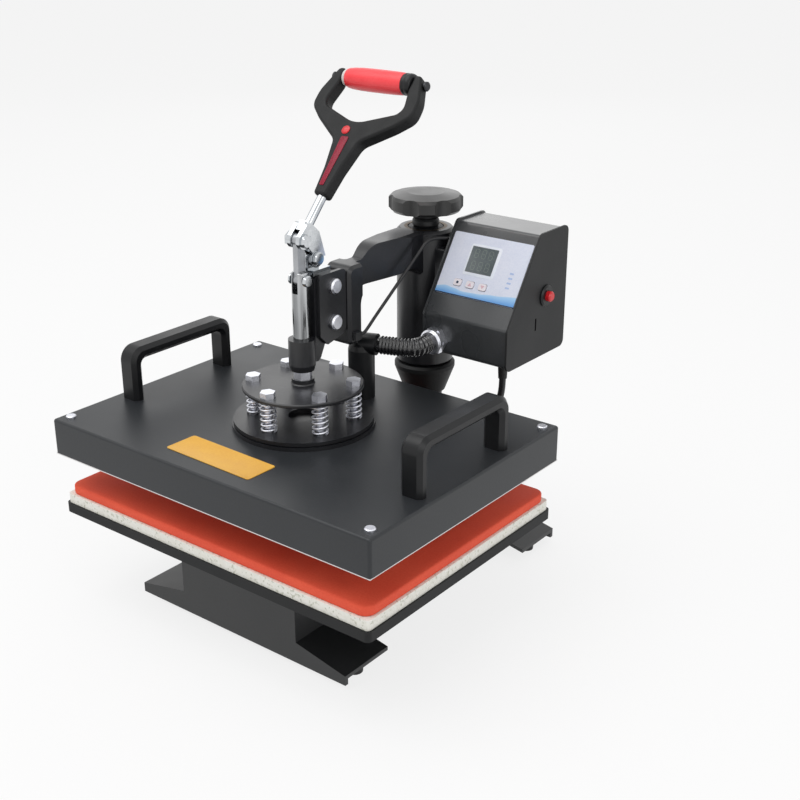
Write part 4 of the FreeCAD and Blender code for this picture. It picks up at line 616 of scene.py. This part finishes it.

# %% [markdown]
# ## The ribbed hose
# A corrugated hose guards the wires from the heater's elbow to the gland on the control box. It
# is modelled straight: a profile with its ribs is spun round its own axis. A curve then bends it.

# %% Ribbed hose
hose_route = [(15.97, 38.81, 253), (27, 42.8, 253), (47.9, 50.4, 253), (54, 59.2, 253), (54, 67, 253),
              (54, 75, 253)]
hose_line, hose_path = cord_line("hose_line", [Vector(p) * mm for p in hose_route])
hose_length = length_of(hose_path)
rib_pitch, root_r, rib_r, plain_end, bore_r = 3.5 * mm, 8.2 * mm, 9.4 * mm, 2.5 * mm, 6.4 * mm
rib_count = int((hose_length - 2 * plain_end) / rib_pitch)
first_rib = (hose_length - rib_count * rib_pitch) / 2
foot_r, shoulder_r = root_r + 0.2 * mm, rib_r - 0.25 * mm
rib_shape = [(0, root_r), (0.12, foot_r), (0.25, shoulder_r), (0.36, rib_r), (0.5, rib_r),
             (0.61, shoulder_r), (0.74, foot_r), (0.87, root_r)]
hose_profile = [(0, bore_r), (0, root_r)]
for rib in range(rib_count):
    hose_profile += [(first_rib + (rib + share) * rib_pitch, radius) for share, radius in rib_shape]
hose_profile += [(hose_length, root_r), (hose_length, bore_r)]
hose = turned_piece("ribbed_hose", hose_profile, (0, 0, 0), Vector((1, 0, 0)), steps=32)
bend = hose.modifiers.new("bend", "CURVE")
bend.object = hose_line
bend.deform_axis = "POS_X"
bpy.ops.object.modifier_apply(modifier="bend")
bpy.data.objects.remove(hose_line)
complete(hose, None, hose_black, ["cable_hose"], smooth=60)
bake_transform(hose)
print("hose", round(hose_length, 4), "m with", rib_count, "ribs")

# %% [markdown]
# ## The red grip
# The lever ends in a D handle with a soft red grip on a cross bolt. The grip is fuller in the middle and
# narrows to its left end, where a clear collar holds it. A black cap closes its right end. Each of the three
# is spun from a profile about the bolt's line.

# %% Grip, collar and cap
grip_low, grip_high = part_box("grip_sleeve")
grip_centre = (grip_low + grip_high) / 2
bolt_hole, collar_from, red_from, red_to, cap_to = 3.4, -41.6, -38, 31, 41.6
grip_shapes = {
    "red_grip": (grip_red, "red_rubber",
                 [(red_from, bolt_hole), (red_from, 8.3), (-37.4, 9), (-36, 9.5), (-31, 10.2),
                  (-21, 10.8), (-10, 11), (8, 11), (20, 10.85), (27, 10.6), (30, 10.3), (30.8, 10),
                  (red_to, 9.4), (red_to, bolt_hole)]),
    "grip_collar": (pale_collar, "grey_plastic",
                    [(collar_from, bolt_hole), (collar_from, 7.4), (-41.1, 8), (-40.2, 8.3),
                     (-38.6, 8.3), (red_from, 8), (red_from, bolt_hole)]),
    "grip_cap": (nylon, "black_plastic",
                 [(red_to, bolt_hole), (red_to, 9.8), (31.6, 10.3), (33, 10.5), (34, 10.1),
                  (35.2, 10.1), (36.2, 10.5), (38.6, 10.3), (40.6, 9.5), (41.3, 8.4), (cap_to, 7.4),
                  (cap_to, bolt_hole)]),
}
for name, (finish, slot, shape) in grip_shapes.items():
    piece = turned_piece(name, in_metres(shape), grip_centre, Vector((1, 0, 0)))
    complete(piece, "lever", finish, ["grip_sleeve"], smooth=40)

# %% [markdown]
# ## The red inlay in the handle
# A narrow strip of red plastic is let into the front of the handle, with a round red stud above it. The strip
# is a thin plate, narrowed at its lower end and rounded along its rim. Both are drawn flat and then put on
# the handle's front face: the face leans back by the lever's angle.

# %% Strip and stud
lever_root = Vector((0, -42.9, 387.6)) * mm
up_lever, front_face = Vector((0, 0.673, 0.7396)), Vector((0, -0.7396, 0.673))
face_depth, strip_low, strip_high, strip_wide, strip_narrow = 7, 41, 94, 8.8, 5.0
strip_left, stud_left, stud_at, stud_r = -1.4, -4.6, 101, 4.5
strip_corner, strip_thick, strip_rim, strip_rise = 1.6, 0.5, 0.5, 0.25
on_face = Matrix.Identity(4)
for column, way in enumerate((Vector((1, 0, 0)), up_lever, front_face)):
    on_face.col[column] = (*way, 0)
on_face.translation = lever_root + front_face * face_depth * mm

strip = flat_patch("handle_strip", strip_wide, strip_high - strip_low, strip_corner, strip_thick)
bpy.ops.object.mode_set(mode="EDIT")
pick(strip, "verts", lambda vert: vert.co.y < 0)
bpy.ops.transform.resize(value=(strip_narrow / strip_wide, 1, 1))
pick(strip, "faces", looks_up)
bpy.ops.mesh.inset(thickness=strip_rim * mm)
bpy.ops.transform.translate(value=(0, 0, strip_rise * mm))
bpy.ops.object.mode_set(mode="OBJECT")
strip.matrix_world = on_face @ Matrix.Translation((strip_left * mm, (strip_low + strip_high) / 2 * mm, 0))
complete(strip, "lever", inlay_red)

stud_centre = on_face @ Vector((stud_left * mm, stud_at * mm, 0))
stud_shape = [(0, 0), (0, stud_r), (0.5, stud_r), (0.9, 3.9), (1.25, 2.8), (1.4, 1.4), (1.45, 0)]
stud = turned_piece("handle_stud", in_metres(stud_shape), stud_centre, front_face)
complete(stud, "lever", button_red)

# %% [markdown]
# ## The print on the control panel
# The film on the sloping face carries a blue wave with a navy line along its lower edge, a white surround
# about the display and a column of small marks. They are thin layers on the film, each a little proud of
# it. They are drawn flat in the panel's own frame, x to the right and y up the slope, and then put on it.

# %% The panel's frame
panel_foot, slope_rise, slope_run = Vector((38, 87, 279)) * mm, 84, 55
panel_place = Matrix.Translation(panel_foot) @ Matrix.Rotation(math.atan2(slope_rise, slope_run), 4, "X")
film_top, layer = 0.6, 0.12


def on_panel(x, y, z=film_top, turn=0.0):
    """The place of a flat piece on the panel, sizes in mm."""
    return panel_place @ Matrix.Translation(Vector((x, y, z)) * mm) @ Matrix.Rotation(turn, 4, "Z")


def graded(name, low, high, rough):
    """A printed colour that fades from the lower edge of a piece to its upper edge, by its UV map."""
    finish = bpy.data.materials.new(name)
    finish.use_nodes = True
    tree = finish.node_tree
    shader = tree.nodes["Principled BSDF"]
    across = add(tree, "ShaderNodeSeparateXYZ", links={0: add(tree, "ShaderNodeTexCoord").outputs["UV"]})
    tone = add(tree, "ShaderNodeMix", values={6: linear(low), 7: linear(high)}, links={0: across.outputs[1]},
               data_type="RGBA")
    tree.links.new(tone.outputs[2], shader.inputs["Base Color"])
    shader.inputs["Roughness"].default_value = rough
    return finish


# %% Blue wave
band_low, band_left, band_right, film_edge = 23.5, 4.0, 98.0, 0.1
wave_heights = [(0, 6.6), (10, 8.6), (20, 7.6), (32, 5.6), (48, 6.2), (68, 8.2), (94, 10.8)]
print_blue = graded("printed_blue", "3F8FDA", "A9D2F4", 0.36)
print_navy = grained("printed_navy", "16283F", "1E3450", 2.0, (0.34, 0.42), 0.0, patch=15)
wave = begin("panel_wave", bpy.ops.mesh.primitive_grid_add, x_subdivisions=32, y_subdivisions=4, size=1)
bpy.ops.object.mode_set(mode="EDIT")
mesh = bmesh.from_edit_mesh(wave.data)
for vert in mesh.verts:
    x = film_edge + (vert.co.x + 0.5) * (band_right - band_left - 2 * film_edge)
    after = next(i for i, (place, height) in enumerate(wave_heights) if place >= x)
    (x0, h0), (x1, h1) = wave_heights[after - 1], wave_heights[after]
    share = (1 - math.cos(math.pi * (x - x0) / (x1 - x0))) / 2
    vert.co = Vector((x, (vert.co.y + 0.5) * (h0 + (h1 - h0) * share), 0)) * mm
bmesh.update_edit_mesh(wave.data)
bpy.ops.mesh.select_all(action="SELECT")
bpy.ops.mesh.extrude_region_move(TRANSFORM_OT_translate={"value": (0, 0, layer * mm)})
bpy.ops.object.mode_set(mode="OBJECT")
wave.matrix_world = on_panel(band_left, band_low + film_edge)
complete(wave, "arm", print_blue)
line_tall, line_corner = 1.2, 0.3
line = flat_patch("panel_line", band_right - band_left - 2 * film_edge, line_tall, line_corner, 2 * layer)
line.matrix_world = on_panel((band_left + band_right) / 2, band_low + film_edge + line_tall / 2)
complete(line, "arm", print_navy)

# %% Surround of the display
print_white = grained("printed_white", "E2E8F4", "F0F3FA", 2.0, (0.34, 0.42), 0.0, patch=15)
surround_wide, surround_tall, surround_corner, surround_rim = 36.5, 33, 2.6, 0.6
surround = flat_patch("display_surround", surround_wide, surround_tall, surround_corner, layer)
bpy.ops.object.mode_set(mode="EDIT")
pick(surround, "faces", looks_up)
bpy.ops.mesh.inset(thickness=surround_rim * mm)
bpy.ops.transform.translate(value=(0, 0, layer * mm))
bpy.ops.object.mode_set(mode="OBJECT")
surround.matrix_world = on_panel(46.6, 63.4)
complete(surround, "arm", print_white)

# %% Marks beside the display
print_pale_blue = grained("printed_pale_blue", "A3B7DE", "B4C6E8", 2.0, (0.34, 0.42), 0.0, patch=15)
mark_wide, mark_tall, mark_corner, mark_x, mark_rows = 4.6, 1.8, 0.6, 84, (57, 52, 47, 42)
first_mark = flat_patch("panel_marks", mark_wide, mark_tall, mark_corner, layer)
marks = repeated(first_mark, [on_panel(mark_x, y) for y in mark_rows])
complete(marks, "arm", print_pale_blue)

# %% [markdown]
# ## Digits and key marks
# The display shows two rows of faint figures, each built of seven short bars. One bar is modelled, copied to
# all its places and joined. The first key carries a dark dot, the other two an arrow up and down.

# %% Digits
bar_long, bar_wide, bar_corner, bar_thick = 3.7, 0.75, 0.36, 0.05
digit_wide, digit_tall, digit_rows, digit_lefts = 4.4, 8.8, (66.0, 53.2), (35.5, 43.8, 52.1)
digit_grey = grained("display_segments", "6C7672", "7E8884", 2.0, (0.2, 0.28), 0.0, patch=10)
display_top = 1.0
bar_places = []
for row in digit_rows:
    for left in digit_lefts:
        for level in (0, digit_tall / 2, digit_tall):
            bar_places.append(on_panel(left + digit_wide / 2, row + level, display_top))
        for side in (0, digit_wide):
            for level in (digit_tall / 4, digit_tall * 3 / 4):
                bar_places.append(on_panel(left + side, row + level, display_top, math.pi / 2))
digits = repeated(flat_patch("display_digits", bar_long, bar_wide, bar_corner, bar_thick), bar_places)
complete(digits, "arm", digit_grey)

# %% Key marks
key_top, key_row, dot_x, up_x, down_x = 1.4, 37.5, 27, 42, 57
arrow_wide, arrow_tall, arrow_corner, arrow_tip = 4.2, 3.4, 0.3, 0.12
dot_shape = [(0, 0), (0, 1.5), (0.12, 1.4), (0.15, 0)]
dot_centre = on_panel(dot_x, key_row, key_top).translation
off_panel = on_panel(0, 0).col[2].to_3d()
dot = turned_piece("key_dot", in_metres(dot_shape), dot_centre, off_panel, steps=24)
complete(dot, "first_key", print_navy)
print_rose = grained("printed_rose", "D2AAB4", "DEBAC2", 2.0, (0.34, 0.42), 0.0, patch=15)
arrows = (("key_up_mark", "second_key", up_x, 1), ("key_down_mark", "third_key", down_x, -1))
for name, body, x, point_up in arrows:
    mark = flat_patch(name, arrow_wide, arrow_tall, arrow_corner, layer)
    bpy.ops.object.mode_set(mode="EDIT")
    pick(mark, "verts", lambda vert: vert.co.y * point_up > 0)
    bpy.ops.transform.resize(value=(arrow_tip, 1, 1))
    bpy.ops.object.mode_set(mode="OBJECT")
    mark.matrix_world = on_panel(x, key_row, key_top)
    complete(mark, body, print_rose)

# %% [markdown]
# ## Small fasteners
# Four pan-head screws hold the back of the control box, and a strap keeps the cord's coil together. A screw
# is spun from its profile, which has a round recess in the head, and copied. The strap is a hoop over the
# turns: a plate whose two ends are extruded down to the table.

# %% Box screws
screw_shape = [(0, 0), (0, 3.4), (0.5, 3.4), (1.2, 2.9), (1.7, 1.9), (1.8, 1.5), (1.1, 1.2), (1.1, 0)]
box_back, screw_xs, screw_zs = 190, (46, 132), (247, 355)
screw = turned_piece("box_screws", in_metres(screw_shape), (0, 0, 0), Vector((0, 1, 0)), steps=24)
repeated(screw, [Matrix.Translation(Vector((x, box_back, z)) * mm) for x in screw_xs for z in screw_zs])
complete(screw, "arm", zinc)

# %% Coil strap
strap_wide, strap_thick, strap_in, strap_out, strap_top = 9, 0.9, 25.0, 53.0, 15.2
strap_turn, strap_corner, strap_lift = math.radians(150), 0.4, 0.3
strap = flat_patch("coil_strap", strap_out - strap_in, strap_wide, strap_corner, strap_thick)
bpy.ops.object.mode_set(mode="EDIT")
for side in (-1, 1):
    end = side * (strap_out - strap_in) / 2 * mm
    pick(strap, "faces", lambda face: face.normal.x * side > 0.99)
    bpy.ops.mesh.extrude_region_move(TRANSFORM_OT_translate={"value": (side * strap_thick * mm, 0, 0)})
    pick(strap, "faces", lambda face: face.normal.z < -0.9 and (face.calc_center_median().x - end) * side > 0)
    bpy.ops.mesh.extrude_region_move(TRANSFORM_OT_translate={"value": (0, 0, -(strap_top - strap_lift) * mm)})
bpy.ops.object.mode_set(mode="OBJECT")
strap.matrix_world = (Matrix.Translation(Vector((*coil_centre, strap_top)) * mm)
                      @ Matrix.Rotation(strap_turn, 4, "Z")
                      @ Matrix.Translation(Vector(((strap_in + strap_out) / 2, 0, 0)) * mm))
complete(strap, "base", soft_black)

# %% [markdown]
# ## The bright lip under the cover
# The milled edge of the heat plate shows as a thin bright line below the cover. The lip is a flat ring: a
# plate nearly as large as the cover, whose middle is inset and removed, so that only its rim is left.

# %% Bright lip
cover_low, cover_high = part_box("heater_cover")
lip_wide, lip_tall, lip_step, lip_bevel, lip_gap, lip_foot = 2.1, 1.3, 0.25, 0.3, 0.05, 0.1
cover_size, cover_centre = cover_high - cover_low, (cover_low + cover_high) / 2
lip = begin("plate_lip", bpy.ops.mesh.primitive_plane_add, size=1)
lip.scale = (cover_size.x - 2 * lip_step * mm, cover_size.y - 2 * lip_step * mm, 1)
bpy.ops.object.transform_apply(location=False, rotation=False, scale=True)
bpy.ops.object.mode_set(mode="EDIT")
bpy.ops.mesh.select_all(action="SELECT")
bpy.ops.mesh.inset(thickness=(lip_wide - lip_step) * mm)
bpy.ops.mesh.delete(type="FACE")
bpy.ops.mesh.select_all(action="SELECT")
bpy.ops.mesh.extrude_region_move(TRANSFORM_OT_translate={"value": (0, 0, lip_tall * mm)})
pick(lip, "edges", lambda edge: is_sharp(edge) and min(v.co.z for v in edge.verts) < lip_foot * mm
     and not lies_along(edge, 2))
bpy.ops.mesh.bevel(offset=lip_bevel * mm, segments=2, affect="EDGES")
bpy.ops.object.mode_set(mode="OBJECT")
lip.location = (cover_centre.x, cover_centre.y, cover_low.z - (lip_tall + lip_gap) * mm)
complete(lip, "press_head", alloy)

# %% [markdown]
# ## The amber plate on the cover
# A thin amber plate lies on the heater cover in front of the disc. A cube is flattened, its corners are
# rounded, and a fine raised rim is made by insetting its top face and sinking the middle.

# %% Amber plate
plate_centre, plate_size, plate_turn = (-0.007, -0.162, 0.1963), (0.108, 0.035, 0.0006), math.radians(-1.5)
plate_corner, plate_border, plate_step, plate_sink = 2.5, 1.6, 0.5, 0.25
plate = begin("amber_plate", bpy.ops.mesh.primitive_cube_add, size=1, location=plate_centre)
plate.scale = plate_size
bpy.ops.object.transform_apply(location=False, rotation=False, scale=True)
bpy.ops.object.mode_set(mode="EDIT")
pick(plate, "edges", lambda edge: lies_along(edge, 2))
bpy.ops.mesh.bevel(offset=plate_corner * mm, segments=5, affect="EDGES")
pick(plate, "faces", looks_up)
bpy.ops.mesh.inset(thickness=plate_border * mm)
bpy.ops.mesh.inset(thickness=plate_step * mm)
bpy.ops.transform.translate(value=(0, 0, -plate_sink * mm))
bpy.ops.object.mode_set(mode="OBJECT")
plate.rotation_euler = (0, 0, plate_turn)
complete(plate, "press_head", amber)

# %% [markdown]
# ## The colour view
# The picture's colours go through the Standard view transform.

# %% Colour view
scene.view_settings.view_transform = "Standard"
